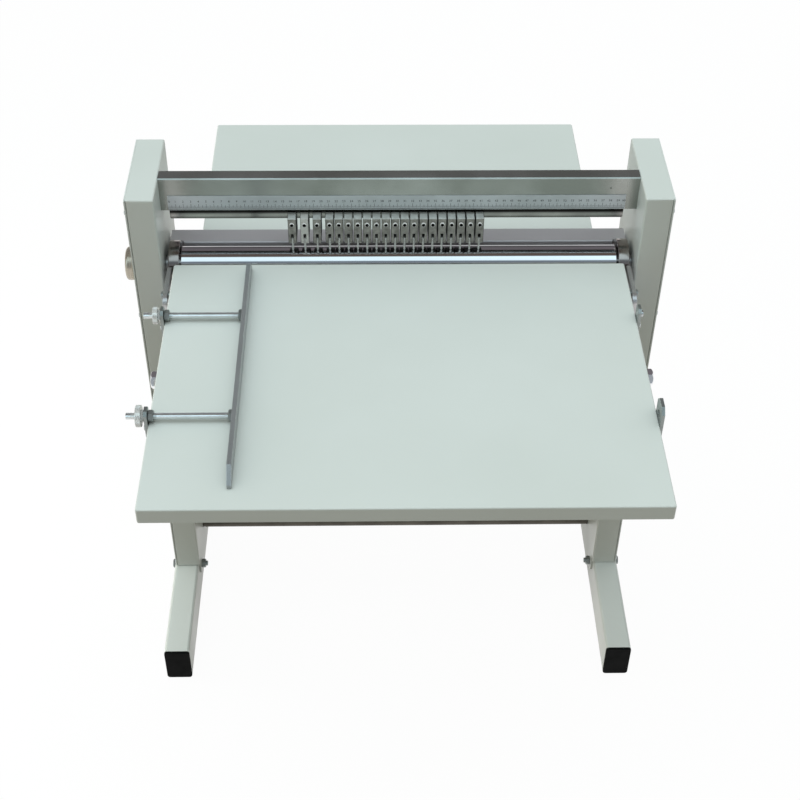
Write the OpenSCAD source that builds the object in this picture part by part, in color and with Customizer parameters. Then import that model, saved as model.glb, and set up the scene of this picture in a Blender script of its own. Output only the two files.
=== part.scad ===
// Label cutting machine: two sheet-metal columns on tube feet carry a knife beam, an anvil roller
// and two tables. X runs across the machine, Y from the operator to the back, Z up from the floor.
// Inside the modules X = 0 is the middle between the columns and Y = 0 is their front face.

/* [Frame] */
// Clear distance between the two columns
frame_gap = 626; // [620:1:700]
// Width of a column with its cover
column_w = 38; // [34:1:60]
// Depth of a column, front to back
column_d = 145; // [130:1:200]
// Height of the column tops above the floor
frame_h = 761; // [755:1:900]
// Sheet thickness of the columns
column_t = 2; // [1.5:0.1:3]
// Thickness of the cover plates
cover_t = 1.5; // [1:0.1:2.5]
// Open seam between a column and its cover
cover_seam = 0.5; // [0.3:0.1:1]
// Width of the flanges behind the covers
flange_w = 12; // [10:0.5:18]
// Rows of screws on each edge of a cover
cover_rows = 5; // [2:1:8]

/* [Feet] */
// Width of a foot tube
foot_w = 38; // [30:1:50]
// Height of a foot tube
foot_h = 60; // [50:1:80]
// Length of a foot with its end caps
foot_l = 491; // [400:1:600]
// How far the feet reach in front of the columns
foot_reach = 173; // [100:1:250]
// Wall of the foot tubes
foot_t = 2; // [1.5:0.1:3]
// Thickness of an end cap outside the tube
cap_t = 4; // [2:0.5:8]
// Depth of an end cap inside the tube
cap_plug = 15; // [8:1:30]
// Height of the column lug beside the foot
lug_h = 25; // [20:1:40]
// Radius of the tie bar
tie_r = 10; // [6:0.5:14]
// Distance of the tie bar from the column front
tie_y = 80; // [30:1:110]
// Height of the tie bar above the foot
tie_rise = 19; // [14:1:100]

/* [Knife beam] */
// Thickness of the beam, front to back
beam_t = 20; // [12:0.5:25]
// Height of the beam
beam_h = 49; // [40:1:60]
// Distance of the beam from the column front
beam_y = 49; // [46:1:55]
// Length of the ruler and the rail
scale_l = 600; // [560:1:600]
// Height of the ruler strip
scale_h = 22; // [15:1:30]
// Thickness of the ruler strip
scale_t = 0.8; // [0.5:0.1:2]
// How far the ruler and the rail stand left of the middle
scale_shift = 3; // [0:0.5:6]
// How far the rail is set back under the beam
rail_back = 5.5; // [3:0.5:6]
// Depth of the rail's neck
rail_neck = 8; // [7:0.5:9]
// Depth of the rail's head
rail_head = 14; // [12.5:0.5:17]
// Height of the rail's neck
rail_neck_h = 9; // [8:0.5:14]
// Height of the rail's head
rail_head_h = 8; // [6:0.5:10]
// Number of screws that hold the rail
rail_screws_n = 6; // [3:1:10]

/* [Knives] */
// Number of knife holders
knife_count = 20; // [4:1:20]
// Width of a holder
knife_w = 11; // [8:0.5:11.5]
// Spacing of the holders that stand close together
knife_pitch = 12.4; // [12:0.05:14]
// Extra spacing of the first holders on the left
knife_spread = 4.05; // [0:0.05:10]
// Number of holders with the extra spacing
knife_loose = 3; // [0:1:6]
// Centre of the last holder on the right
knife_last_x = 106; // [80:0.5:150]
// Depth of a holder in front of the rail
knife_d = 16.2; // [14:0.1:18]
// Height of a holder's front face
knife_h = 39; // [36:0.5:42]
// Running clearance between a holder and the rail
knife_clear = 0.3; // [0.2:0.05:0.4]
// Radius of a blade pin
blade_r = 1.3; // [1:0.1:1.6]
// Gap between a blade tip and the roller
blade_gap = 0.35; // [0.3:0.05:2]

/* [Anvil roller] */
// Radius of the roller
roller_r = 23; // [18:0.5:24]
// Distance of the roller axis from the column front
roller_y = 42; // [40:0.5:45]
// Distance of the roller axis below the column tops
roller_drop = 130; // [121:0.5:136]
// Radius of the end collars
collar_r = 31; // [25:0.5:31.5]
// Width of an end collar
collar_w = 14.5; // [8:0.5:16]
// Gap between an end collar and the column
collar_gap = 6; // [4:0.1:12]
// Gap between the roller and its collars
groove_w = 1.5; // [1:0.1:4]
// Radius of the shaft in its bearings
shaft_r = 10; // [8:0.5:11]
// Radius of the shaft's end in the knob
stub_r = 6; // [4:0.5:7]
// Radius of the hand knob
knob_r = 22.5; // [18:0.5:26]
// Thickness of the hand knob
knob_t = 13; // [11:0.5:20]
// Radius of the knob's rounded edge
knob_edge = 4; // [1:0.5:5]

/* [Tables] */
// Gap between the front table's side and a column
table_side = 15; // [13:0.5:20]
// Front edge of the front table, ahead of the columns
table_reach = 433.5; // [380:0.5:500]
// Gap between the front table and the collars
table_gap = 2; // [1:0.5:4]
// Height of the front table's top below the roller's top
table_drop = 0.5; // [0:0.1:3]
// Height of the tables' folded lips
lip_h = 20; // [18:1:26]
// Sheet thickness of the tables
table_t = 2; // [1:0.1:2.5]
// Radius of the tables' corners
table_corner = 3; // [3:0.5:12]
// Width of the rear table
rear_w = 540; // [480:1:560]
// Length of the rear table
rear_l = 283; // [200:1:340]
// Height of the rear table below the cross member
rear_drop = 10; // [4:0.5:12]
// Width of the cross member's top
cross_d = 30; // [26:1:36]
// Height of the cross member
cross_h = 40; // [36:1:50]
// Height of the cross member's top below the roller's top
cross_drop = 9.5; // [8:0.5:20]
// Gap between the roller and the cross member
cross_gap = 6; // [4:0.5:10]
// Gap between the cross member's top and the columns
cross_end = 3; // [2:0.5:14]

/* [Brackets and stays] */
// Thickness of the table brackets
bracket_t = 6; // [4:0.5:7]
// Gap between a bracket and the table's side
bracket_gap = 3; // [1:0.5:4]
// How far a bracket reaches in front of its column
bracket_reach = 62; // [58:1:80]
// How far a bracket reaches along its column
bracket_hold = 70; // [60:1:90]
// Height of a bracket's upper arm
bracket_arm = 50; // [40:1:60]
// Height of a bracket's lower leg
bracket_leg = 46; // [30:1:70]
// Width of the web between arm and leg
bracket_web = 18; // [12:1:24]
// Radius of a bracket's front corner
bracket_round = 14; // [4:1:14]
// Thickness of the stays
stay_t = 4; // [3:0.5:5]
// Width of the stays
stay_w = 21; // [20:0.5:26]
// Distance of the stays' upper bolts in front of the columns
stay_reach = 205; // [180:1:235]
// Distance of the stays' lower bolts behind the column front
stay_back = 25; // [18:1:60]
// Drop from a stay's upper bolt to its lower bolt
stay_drop = 172; // [150:1:280]

/* [Side fence] */
// Thickness of the fence
fence_t = 5.5; // [4.5:0.5:10]
// Height of the fence
fence_h = 22; // [18:0.5:30]
// Length of the fence
fence_l = 400; // [370:1:410]
// Distance of the fence's rear end in front of the roller axis
fence_back = 44; // [42:1:60]
// Right face of the fence, left of the middle
fence_x = 194; // [160:1:195]
// Radius of the fence rods
rod_r = 4; // [3:0.25:4]
// Height of the rods above the table
rod_rise = 8; // [7.6:0.1:10]
// Distance of the rear rod in front of the columns
rod_rear = 106.7; // [90:0.1:140]
// Distance of the front rod in front of the columns
rod_front = 291; // [250:1:330]
// Length of a rod outside the left tab
rod_tail = 21.5; // [14:0.5:40]
// Thickness of the tabs
tab_t = 4; // [3:0.5:5]
// Width of the narrow tabs
tab_w = 18; // [16:0.5:24]
// Width of the right front tab
tab_w_wide = 30; // [18:0.5:40]
// Height of the narrow tabs above the table
tab_rise = 19; // [15:0.5:24]
// Height of the right front tab above the table
tab_rise_wide = 25; // [18:0.5:30]
// Radius of the rear knurled nut
thumb_r_rear = 11; // [9:0.25:14]
// Radius of the front knurled nut
thumb_r_front = 13; // [9:0.25:14]
// Thickness of the knurled rim
thumb_t = 6.5; // [3:0.5:8]

/* [Fits] */
// Radial clearance of fasteners in their holes
hole_clear = 0.05; // [0.03:0.01:0.1]
// Radial clearance of turning and sliding fits
run_clear = 0.04; // [0.02:0.01:0.08]
// Gap between faces that move past each other
face_gap = 0.3; // [0.3:0.05:0.5]

/* [Hidden] */
$fn = 48;
// Metric fasteners: shank radius, width across flats, head height, nut height
m4_r = 2;
m5_r = 2.5;
m6_r = 3;
m8_r = 4;
m8_flats = 13;
m8_head = 5.3;
m8_nut = 6.5;
m12_r = 6;
m12_flats = 19;
m12_head = 7.5;
// Small overshoot of cutting shapes
cut = 1;

// Column faces, on the right side
inner_x = frame_gap / 2;
outer_x = inner_x + column_w;
cover_x = outer_x - cover_t;
edge_x = cover_x - cover_seam;
wall_x = inner_x + column_t;
// Cover screws sit in the middle of the flanges
screw_inset = flange_w / 2;
screw_top = 22;
cover_head_r = 3.4;
cover_head_h = 1.8;
cover_tail = 3;
// Feet, on the right side
foot_x = wall_x + face_gap;
foot_out = foot_x + foot_w;
foot_y0 = -foot_reach;
foot_y1 = foot_y0 + foot_l;
lug_inset = 5;
lug_z = foot_h - 0.66 * lug_h;
foot_bolt_inset = 20;
bolt_tail = 3;
tie_z = foot_h + tie_rise;
// Knife beam, ruler and rail
beam_z = frame_h - beam_h;
beam_bolt_rise = 14;
beam_bolt_bite = 20;
scale_x0 = -scale_shift - scale_l / 2;
scale_x1 = scale_x0 + scale_l;
scale_foot = 1;
rail_y = beam_y + rail_back;
rail_z = beam_z - rail_neck_h - rail_head_h;
shoulder_z = rail_z + rail_head_h;
rail_screw_y = rail_y + rail_neck / 2;
rail_screw_bite = 12;
rail_screw_head_r = 3.8;
rail_screw_head_h = 4;
// Knives
holder_top = shoulder_z + 2;
holder_y = rail_y - knife_clear - knife_d;
holder_z = holder_top - knife_h;
hook_t = 3.7;
hook_lip = 5.5;
hook_rise = 5;
blade_y = holder_y + blade_r + 0.1;
blade_tip_h = 1.2;
blade_tip_r = 0.5;
blade_up = 7.5;
blade_window = 4.5;
clamp_drop = 8;
clamp_r = 1.5;
clamp_head_r = 3.2;
clamp_head_h = 3;
clamp_key = 2.5;
clamp_seat = 0.1;
// Anvil roller
roller_z = frame_h - roller_drop;
roller_top = roller_z + roller_r;
blade_reach = roller_y - blade_y;
tip_z = roller_z + sqrt(roller_r * roller_r - blade_reach * blade_reach) + blade_gap;
collar_x1 = inner_x - collar_gap;
collar_x0 = collar_x1 - collar_w;
roller_x = collar_x0 - groove_w;
shaft_end = wall_x + 22;
bearing_flange = 26;
bearing_flange_t = 8;
bearing_hub_r = 19;
bearing_hub_l = 16;
shaft_hole = shaft_r + 2;
knob_x = outer_x + 2;
knob_wall = 4;
// Tables
table_top = roller_top - table_drop;
table_x = inner_x - table_side;
table_y0 = -table_reach;
table_y1 = roller_y - collar_r - table_gap;
lip_z = table_top - lip_h;
cross_y0 = roller_y + roller_r + cross_gap;
cross_y1 = cross_y0 + cross_d;
cross_z = roller_top - cross_drop;
cross_t = 2;
cross_x = inner_x - cross_end;
notch_clear = 1;
notch_x = collar_x0 - notch_clear;
notch_y = roller_y + collar_r + notch_clear;
tongue_inset = 4;
rear_y0 = cross_y1;
rear_y1 = rear_y0 + rear_l;
rear_top = cross_z - rear_drop;
rear_screws_n = 4;
rear_screw_inset = 50;
rear_screw_z = rear_top - lip_h / 2;
m5_head_r = 4.2;
m5_head_h = 2.4;
m5_nut_flats = 8;
m5_nut = 4;
// Brackets: plates that pass in front of and below the collars
bracket_x0 = table_x + bracket_gap;
bracket_x1 = bracket_x0 + bracket_t;
bracket_end = table_y1 - 1;
bracket_top = table_top - 3.5;
bracket_leg_z = roller_z - collar_r - 2 - bracket_leg;
lip_bolt_y = -bracket_reach + 19;
lip_bolt_z = table_top - lip_h / 2;
bracket_bolt_y = [column_t + 14, bracket_hold - 15];
bracket_bolt_z = bracket_leg_z + bracket_leg / 2;
spacer_r = 8;
m6_head_r = 5;
m6_head_h = 3.3;
m6_flats = 10;
m6_nut = 5;
// Stays: flat bars inside the table's side lips
stay_out = table_x - table_t;
stay_x = stay_out - stay_t;
stay_clear = 0.5;
stay_top_z = table_top - table_t - stay_w / 2 - stay_clear;
stay_low_z = stay_top_z - stay_drop;
stay_run = stay_reach + stay_back;
stay_len = sqrt(stay_run * stay_run + stay_drop * stay_drop);
stay_tilt = atan2(stay_drop, stay_run);
// Side fence
fence_x0 = -fence_x - fence_t;
fence_y1 = roller_y - fence_back;
fence_y0 = fence_y1 - fence_l;
fence_z = table_top + face_gap;
fence_bevel_l = 17;
fence_bevel_h = 8;
fence_bite = 4;
rod_z = table_top + rod_rise;
rod_ys = [-rod_rear, -rod_front];
tab_x = table_x;
tab_out = tab_x + tab_t;
tab_z = lip_z + 2;
tab_screw_z = lip_z + lip_h / 2;
tab_hole = rod_r + 0.4;
stud_out = 3.5;
thumb_hub_t = 3;
lock_nut = 5;
thumb_ridges = 30;
thumb_ridge_r = 0.6;

// The object's box, for an origin at the middle of its base
box_left = knob_x + knob_t;
box_right = foot_out + m8_head;
to_origin = [(box_left - box_right) / 2, (table_reach - rear_y1) / 2, 0];

// Paint and metal colours
paint = [0.81, 0.85, 0.84];
dark_paint = [0.60, 0.60, 0.57];
steel = [0.62, 0.63, 0.63];
polished = [0.80, 0.81, 0.82];
dark_steel = [0.36, 0.34, 0.31];
zinc = [0.78, 0.80, 0.80];
black = [0.07, 0.07, 0.07];
nickel = [0.66, 0.62, 0.54];

function knife_name(i) = str("knife_", i < 9 ? "0" : "", i + 1);

// Moves a finished piece to the object's origin
module place() {
    translate(to_origin) children();
}

// Mirrors a piece made on the right to the left
module on_side(side) {
    mirror([side < 0 ? 1 : 0, 0, 0]) children();
}

// Box between two corners
module block(low, high) {
    translate(low) cube(high - low);
}

// Round bar along X, from x0 to x1
module bar_x(x0, x1, r, y, z) {
    translate([x0, y, z]) rotate([0, 90, 0]) cylinder(r = r, h = x1 - x0);
}

// Round bar along Y, from y0 to y1
module bar_y(y0, y1, r, x, z) {
    translate([x, y1, z]) rotate([90, 0, 0]) cylinder(r = r, h = y1 - y0);
}

// Hexagon along X, from x0 to x1, with a flat on top
module hex_x(x0, x1, flats, y, z) {
    translate([x0, y, z]) rotate([0, 90, 0]) rotate([0, 0, 30])
        cylinder(r = flats / sqrt(3), h = x1 - x0, $fn = 6);
}

// Hex nut along X
module nut_x(x0, x1, flats, bore, y, z) {
    difference() {
        hex_x(x0, x1, flats, y, z);
        bar_x(x0 - cut, x1 + cut, bore, y, z);
    }
}

// Tube along X
module tube_x(x0, x1, r, bore, y, z) {
    difference() {
        bar_x(x0, x1, r, y, z);
        bar_x(x0 - cut, x1 + cut, bore, y, z);
    }
}

// Rectangle with round corners, from [x0, y0] to [x1, y1]
module round_rect(x0, y0, x1, y1, r) {
    translate([x0 + r, y0]) square([x1 - x0 - 2 * r, y1 - y0]);
    translate([x0, y0 + r]) square([x1 - x0, y1 - y0 - 2 * r]);
    for (x = [x0 + r, x1 - r], y = [y0 + r, y1 - r]) {
        translate([x, y]) circle(r = r);
    }
}

// Heights of the cover screws
function cover_screw_z(i) =
    foot_h + screw_inset + i * (frame_h - foot_h - screw_inset - screw_top) / (cover_rows - 1);

// Places of the cover screws on one side, as children along X
module at_cover_screws() {
    for (y = [screw_inset, column_d - screw_inset], i = [0 : cover_rows - 1]) {
        translate([0, y, cover_screw_z(i)]) children();
    }
}

// Places of the foot bolts on one side
module at_foot_bolts() {
    for (y = [foot_bolt_inset, column_d - foot_bolt_inset]) {
        translate([0, y, lug_z]) children();
    }
}

// Places of the beam bolts on one side
module at_beam_bolts() {
    for (rise = [-beam_bolt_rise, beam_bolt_rise]) {
        translate([0, beam_y + beam_t / 2, beam_z + beam_h / 2 + rise]) children();
    }
}

// Places of the bracket bolts on one side
module at_bracket_bolts() {
    for (y = bracket_bolt_y) {
        translate([0, y, bracket_bolt_z]) children();
    }
}

// Folded box open on the outer side, with flanges for the cover and a lug beside the foot
module column(side) {
    color(paint) on_side(side) difference() {
        union() {
            block([inner_x, 0, foot_h], [edge_x, column_d, frame_h]);
            block([inner_x, lug_inset, foot_h - lug_h], [wall_x, column_d - lug_inset, foot_h + cut]);
        }
        block([wall_x, column_t, foot_h + column_t],
              [edge_x - column_t, column_d - column_t, frame_h - column_t]);
        block([wall_x, flange_w, foot_h + flange_w], [edge_x + cut, column_d - flange_w, frame_h - flange_w]);
        at_cover_screws() bar_x(edge_x - column_t - cut, edge_x + cut, m4_r + hole_clear, 0, 0);
        at_foot_bolts() bar_x(inner_x - cut, wall_x + cut, m8_r + hole_clear, 0, 0);
        at_beam_bolts() bar_x(inner_x - cut, wall_x + cut, m8_r + hole_clear, 0, 0);
        at_bracket_bolts() bar_x(inner_x - cut, wall_x + cut, m8_r + hole_clear, 0, 0);
        bar_x(inner_x - cut, wall_x + cut, shaft_hole, roller_y, roller_z);
        bar_x(inner_x - cut, wall_x + cut, m12_r + hole_clear, stay_back, stay_low_z);
    }
}

module cover(side) {
    color(paint) on_side(side) difference() {
        block([cover_x, 0, foot_h], [outer_x, column_d, frame_h]);
        at_cover_screws() bar_x(cover_x - cut, outer_x + cut, m4_r + hole_clear, 0, 0);
        if (side < 0) {
            bar_x(cover_x - cut, outer_x + cut, stub_r + 1, roller_y, roller_z);
        }
    }
}

module cover_screws() {
    color(zinc) for (side = [-1, 1]) on_side(side) at_cover_screws() {
        bar_x(edge_x - column_t - cover_tail, outer_x + cover_head_h, m4_r, 0, 0);
        bar_x(outer_x, outer_x + cover_head_h, cover_head_r, 0, 0);
    }
}

module foot(side) {
    color(paint) on_side(side) difference() {
        block([foot_x, foot_y0 + cap_t, 0], [foot_out, foot_y1 - cap_t, foot_h]);
        block([foot_x + foot_t, foot_y0, foot_t], [foot_out - foot_t, foot_y1, foot_h - foot_t]);
        at_foot_bolts() bar_x(foot_x - cut, foot_out + cut, m8_r + hole_clear, 0, 0);
    }
}

// Black plugs in the four tube ends
module foot_caps() {
    plug = foot_t + hole_clear;
    color(black) for (side = [-1, 1]) on_side(side) {
        block([foot_x, foot_y0, 0], [foot_out, foot_y0 + cap_t, foot_h]);
        block([foot_x + plug, foot_y0, plug], [foot_out - plug, foot_y0 + cap_t + cap_plug, foot_h - plug]);
        block([foot_x, foot_y1 - cap_t, 0], [foot_out, foot_y1, foot_h]);
        block([foot_x + plug, foot_y1 - cap_t - cap_plug, plug], [foot_out - plug, foot_y1, foot_h - plug]);
    }
}

// Bolts through the lugs and feet, with their nuts on the inner side
module foot_bolts() {
    color(zinc) for (side = [-1, 1]) on_side(side) at_foot_bolts() {
        bar_x(inner_x - m8_nut - bolt_tail, foot_out + m8_head, m8_r, 0, 0);
        hex_x(foot_out, foot_out + m8_head, m8_flats, 0, 0);
        nut_x(inner_x - m8_nut, inner_x, m8_flats, m8_r + hole_clear, 0, 0);
    }
}

module tie_bar() {
    color(dark_steel) bar_x(-inner_x, inner_x, tie_r, tie_y, tie_z);
}

// Downward channel with a notch beside each collar and a welded tongue at each end
module cross_member() {
    color(steel) difference() {
        union() {
            block([-cross_x, cross_y0, cross_z - cross_h], [cross_x, cross_y1, cross_z]);
            block([-inner_x, cross_y0 + tongue_inset, cross_z - cross_h],
                  [inner_x, cross_y1 - tongue_inset, cross_z - tongue_inset]);
        }
        block([cross_t - notch_x, cross_y0 + cross_t, cross_z - cross_h - cut],
              [notch_x - cross_t, cross_y1 - cross_t, cross_z - cross_t]);
        for (side = [-1, 1]) on_side(side) {
            block([notch_x, cross_y0 - cut, cross_z - cross_h - cut],
                  [cross_x + cut, notch_y, cross_z + cut]);
        }
        at_rear_screws() bar_y(-cross_t - cut, cut, m5_r + hole_clear, 0, 0);
    }
}

// Places of the screws between the cross member and the rear table, on the joint plane
module at_rear_screws() {
    span = rear_w - 2 * rear_screw_inset;
    for (i = [0 : rear_screws_n - 1]) {
        translate([-span / 2 + i * span / (rear_screws_n - 1), cross_y1, rear_screw_z]) children();
    }
}

module knife_beam() {
    color(steel) difference() {
        block([-inner_x, beam_y, beam_z], [inner_x, beam_y + beam_t, frame_h]);
        for (side = [-1, 1]) on_side(side) {
            at_beam_bolts() bar_x(inner_x - beam_bolt_bite - cut, inner_x + cut, m8_r + hole_clear, 0, 0);
        }
        at_rail_screws()
            cylinder(r = m5_r + hole_clear, h = rail_neck_h + rail_head_h + rail_screw_bite + cut);
    }
}

module beam_bolts() {
    color(zinc) for (side = [-1, 1]) on_side(side) at_beam_bolts() {
        bar_x(inner_x - beam_bolt_bite, wall_x + m8_head, m8_r, 0, 0);
        hex_x(wall_x, wall_x + m8_head, m8_flats, 0, 0);
    }
}

// Engraved strip on the lower part of the beam's face
module scale_strip() {
    low = beam_z + scale_foot;
    color(polished) block([scale_x0, beam_y - scale_t, low], [scale_x1, beam_y, low + scale_h]);
}

// Places of the rail screws, on the underside of the rail
module at_rail_screws() {
    step = scale_l / rail_screws_n;
    for (i = [0 : rail_screws_n - 1]) {
        translate([scale_x0 + (i + 0.5) * step, rail_screw_y, rail_z]) children();
    }
}

// Rail with a neck under the beam and a head that stands out to the back
module knife_rail() {
    color(steel) difference() {
        union() {
            block([scale_x0, rail_y, rail_z], [scale_x1, rail_y + rail_head, shoulder_z]);
            block([scale_x0, rail_y, rail_z], [scale_x1, rail_y + rail_neck, beam_z]);
        }
        at_rail_screws() {
            translate([0, 0, -cut]) cylinder(r = m5_r + hole_clear, h = rail_head_h + rail_neck_h + 2 * cut);
            translate([0, 0, -cut]) cylinder(r = rail_screw_head_r + hole_clear, h = rail_screw_head_h + cut);
        }
    }
}

// Sunk screws that hold the rail to the beam
module rail_screws() {
    color(dark_steel) at_rail_screws() translate([0, 0, face_gap]) {
        cylinder(r = m5_r, h = rail_neck_h + rail_head_h + rail_screw_bite - face_gap);
        cylinder(r = rail_screw_head_r, h = rail_screw_head_h - face_gap);
    }
}

// Left part of the holders' row stands wider apart
function knife_x(i) =
    knife_last_x - (knife_count - 1 - i) * knife_pitch - max(knife_loose - i, 0) * knife_spread;

// Holder that hooks under and behind the rail's head, with a groove for the blade pin
module knife_holder() {
    half = knife_w / 2;
    back = rail_y + rail_head + knife_clear;
    jaw_top = rail_z - knife_clear;
    difference() {
        union() {
            block([-half, holder_y, holder_z], [half, rail_y - knife_clear, holder_top]);
            block([-half, holder_y, holder_z], [half, back + hook_t, jaw_top]);
            block([-half, back, holder_z], [half, back + hook_t, shoulder_z + hook_rise]);
            block([-half, back - hook_lip, shoulder_z + knife_clear],
                  [half, back + hook_t, shoulder_z + hook_rise]);
        }
        block([-blade_r - hole_clear, holder_y - cut, holder_z - cut],
              [blade_r + hole_clear, blade_y, holder_z + blade_up + blade_window]);
        translate([0, blade_y, holder_z - cut])
            cylinder(r = blade_r + hole_clear, h = blade_up + blade_window + cut);
        bar_y(holder_y - cut, rail_y + cut, clamp_r + hole_clear, 0, holder_top - clamp_drop);
    }
}

// Cap screw that clamps the holder on the rail
module clamp_screw() {
    seat = holder_y - clamp_seat;
    level = holder_top - clamp_drop;
    difference() {
        union() {
            bar_y(seat - clamp_head_h, rail_y - knife_clear, clamp_r, 0, level);
            bar_y(seat - clamp_head_h, seat, clamp_head_r, 0, level);
        }
        translate([0, seat - clamp_head_h / 3, level]) rotate([90, 0, 0])
            cylinder(r = clamp_key / sqrt(3), h = clamp_head_h, $fn = 6);
    }
}

// Round blade with a short point over the roller
module blade_pin() {
    translate([0, blade_y, tip_z]) {
        cylinder(r1 = blade_tip_r, r2 = blade_r, h = blade_tip_h);
        translate([0, 0, blade_tip_h]) cylinder(r = blade_r, h = holder_z + blade_up - tip_z - blade_tip_h);
    }
}

module knife(i) {
    translate([knife_x(i), 0, 0]) {
        color(steel) knife_holder();
        color(dark_steel) clamp_screw();
        color(polished) blade_pin();
    }
}

// Ground roller with its journals, and a thin stub on the left for the knob
module anvil_roller() {
    color(polished) {
        bar_x(-roller_x, roller_x, roller_r, roller_y, roller_z);
        bar_x(-shaft_end, shaft_end, shaft_r, roller_y, roller_z);
        bar_x(-knob_x - knob_t + knob_wall, 0, stub_r, roller_y, roller_z);
    }
}

module collar(side) {
    color(steel) on_side(side)
        tube_x(collar_x0, collar_x1, collar_r, shaft_r + hole_clear, roller_y, roller_z);
}

// Square-flange bearing on the inside of a column wall
module bearing(side) {
    color(dark_steel) on_side(side) difference() {
        union() {
            block([wall_x, roller_y - bearing_flange, roller_z - bearing_flange],
                  [wall_x + bearing_flange_t, roller_y + bearing_flange, roller_z + bearing_flange]);
            bar_x(wall_x, wall_x + bearing_hub_l, bearing_hub_r, roller_y, roller_z);
        }
        bar_x(wall_x - cut, wall_x + bearing_hub_l + cut, shaft_r + run_clear, roller_y, roller_z);
    }
}

// Round knob with soft edges and a blind bore
module hand_knob() {
    flat = knob_r - knob_edge;
    color(nickel) translate([-knob_x, roller_y, roller_z]) rotate([0, -90, 0]) difference() {
        rotate_extrude() {
            square([flat, knob_t]);
            translate([0, knob_edge]) square([knob_r, knob_t - 2 * knob_edge]);
            for (z = [knob_edge, knob_t - knob_edge]) {
                translate([flat, z]) circle(r = knob_edge);
            }
        }
        translate([0, 0, -cut]) cylinder(r = stub_r + hole_clear, h = knob_t - knob_wall + cut);
    }
}

// Folded tray, open below
module tray(half_w, y0, y1, top) {
    inner = max(table_corner - table_t, 1);
    difference() {
        translate([0, 0, top - lip_h]) linear_extrude(lip_h)
            round_rect(-half_w, y0, half_w, y1, table_corner);
        translate([0, 0, top - lip_h - cut]) linear_extrude(lip_h - table_t + cut)
            round_rect(-half_w + table_t, y0 + table_t, half_w - table_t, y1 - table_t, inner);
    }
}

// Places on both side lips of the front table for the tabs
module at_tabs() {
    for (side = [-1, 1], y = rod_ys) on_side(side) translate([0, y, 0]) children();
}

module front_table() {
    color(paint) difference() {
        tray(table_x, table_y0, table_y1, table_top);
        for (side = [-1, 1]) on_side(side) {
            bar_x(table_x - table_t - cut, table_x + cut, m6_r + hole_clear, lip_bolt_y, lip_bolt_z);
            bar_x(table_x - table_t - cut, table_x + cut, m12_r + hole_clear, -stay_reach, stay_top_z);
        }
        at_tabs() bar_x(table_x - table_t - cut, table_x + cut, m5_r + hole_clear, 0, tab_screw_z);
    }
}

module rear_table() {
    color(paint) difference() {
        tray(rear_w / 2, rear_y0, rear_y1, rear_top);
        at_rear_screws() bar_y(-cut, table_t + cut, m5_r + hole_clear, 0, 0);
    }
}

// Screws from the channel into nuts behind the rear table's front lip
module rear_table_screws() {
    color(zinc) at_rear_screws() {
        bar_y(-cross_t - m5_head_h, table_t + m5_nut + bolt_tail, m5_r, 0, 0);
        bar_y(-cross_t - m5_head_h, -cross_t, m5_head_r, 0, 0);
        rotate([0, 0, 90]) nut_x(table_t, table_t + m5_nut, m5_nut_flats, m5_r + hole_clear, 0, 0);
    }
}

// Plate with an arm beside the table and a leg along the column
module bracket(side) {
    y0 = -bracket_reach;
    web_y = bracket_end - bracket_web;
    arm_z = bracket_top - bracket_arm;
    color(paint) on_side(side) difference() {
        union() {
            block([bracket_x0, y0 + bracket_round, arm_z], [bracket_x1, bracket_end, bracket_top]);
            block([bracket_x0, y0, arm_z], [bracket_x1, bracket_end, bracket_top - bracket_round]);
            bar_x(bracket_x0, bracket_x1, bracket_round, y0 + bracket_round, bracket_top - bracket_round);
            block([bracket_x0, web_y, bracket_leg_z], [bracket_x1, bracket_end, bracket_top]);
            block([bracket_x0, web_y, bracket_leg_z],
                  [bracket_x1, bracket_hold, bracket_leg_z + bracket_leg]);
        }
        bar_x(bracket_x0 - cut, bracket_x1 + cut, m6_r + hole_clear, lip_bolt_y, lip_bolt_z);
        at_bracket_bolts() bar_x(bracket_x0 - cut, bracket_x1 + cut, m8_r + hole_clear, 0, 0);
    }
}

// Bolts through spacers into the columns, and the bolts that join the table's lip to the brackets
module bracket_bolts() {
    lip_in = table_x - table_t;
    color(zinc) for (side = [-1, 1]) on_side(side) {
        at_bracket_bolts() {
            bar_x(bracket_x0 - m8_head, wall_x + m8_nut + bolt_tail, m8_r, 0, 0);
            hex_x(bracket_x0 - m8_head, bracket_x0, m8_flats, 0, 0);
            tube_x(bracket_x1, inner_x, spacer_r, m8_r + hole_clear, 0, 0);
            nut_x(wall_x, wall_x + m8_nut, m8_flats, m8_r + hole_clear, 0, 0);
        }
        bar_x(lip_in - m6_nut - bolt_tail, bracket_x1 + m6_head_h, m6_r, lip_bolt_y, lip_bolt_z);
        bar_x(bracket_x1, bracket_x1 + m6_head_h, m6_head_r, lip_bolt_y, lip_bolt_z);
        tube_x(table_x, bracket_x0, m6_head_r, m6_r + hole_clear, lip_bolt_y, lip_bolt_z);
        nut_x(lip_in - m6_nut, lip_in, m6_flats, m6_r + hole_clear, lip_bolt_y, lip_bolt_z);
    }
}

// Flat bar from the column up to the table's side lip
module stay(side) {
    color(dark_paint) on_side(side) translate([stay_x, -stay_reach, stay_top_z]) rotate([-stay_tilt, 0, 0])
        difference() {
            union() {
                block([0, 0, -stay_w / 2], [stay_t, stay_len, stay_w / 2]);
                bar_x(0, stay_t, stay_w / 2, 0, 0);
                bar_x(0, stay_t, stay_w / 2, stay_len, 0);
            }
            bar_x(-cut, stay_t + cut, m12_r + hole_clear, 0, 0);
            bar_x(-cut, stay_t + cut, m12_r + hole_clear, stay_len, 0);
        }
}

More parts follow.
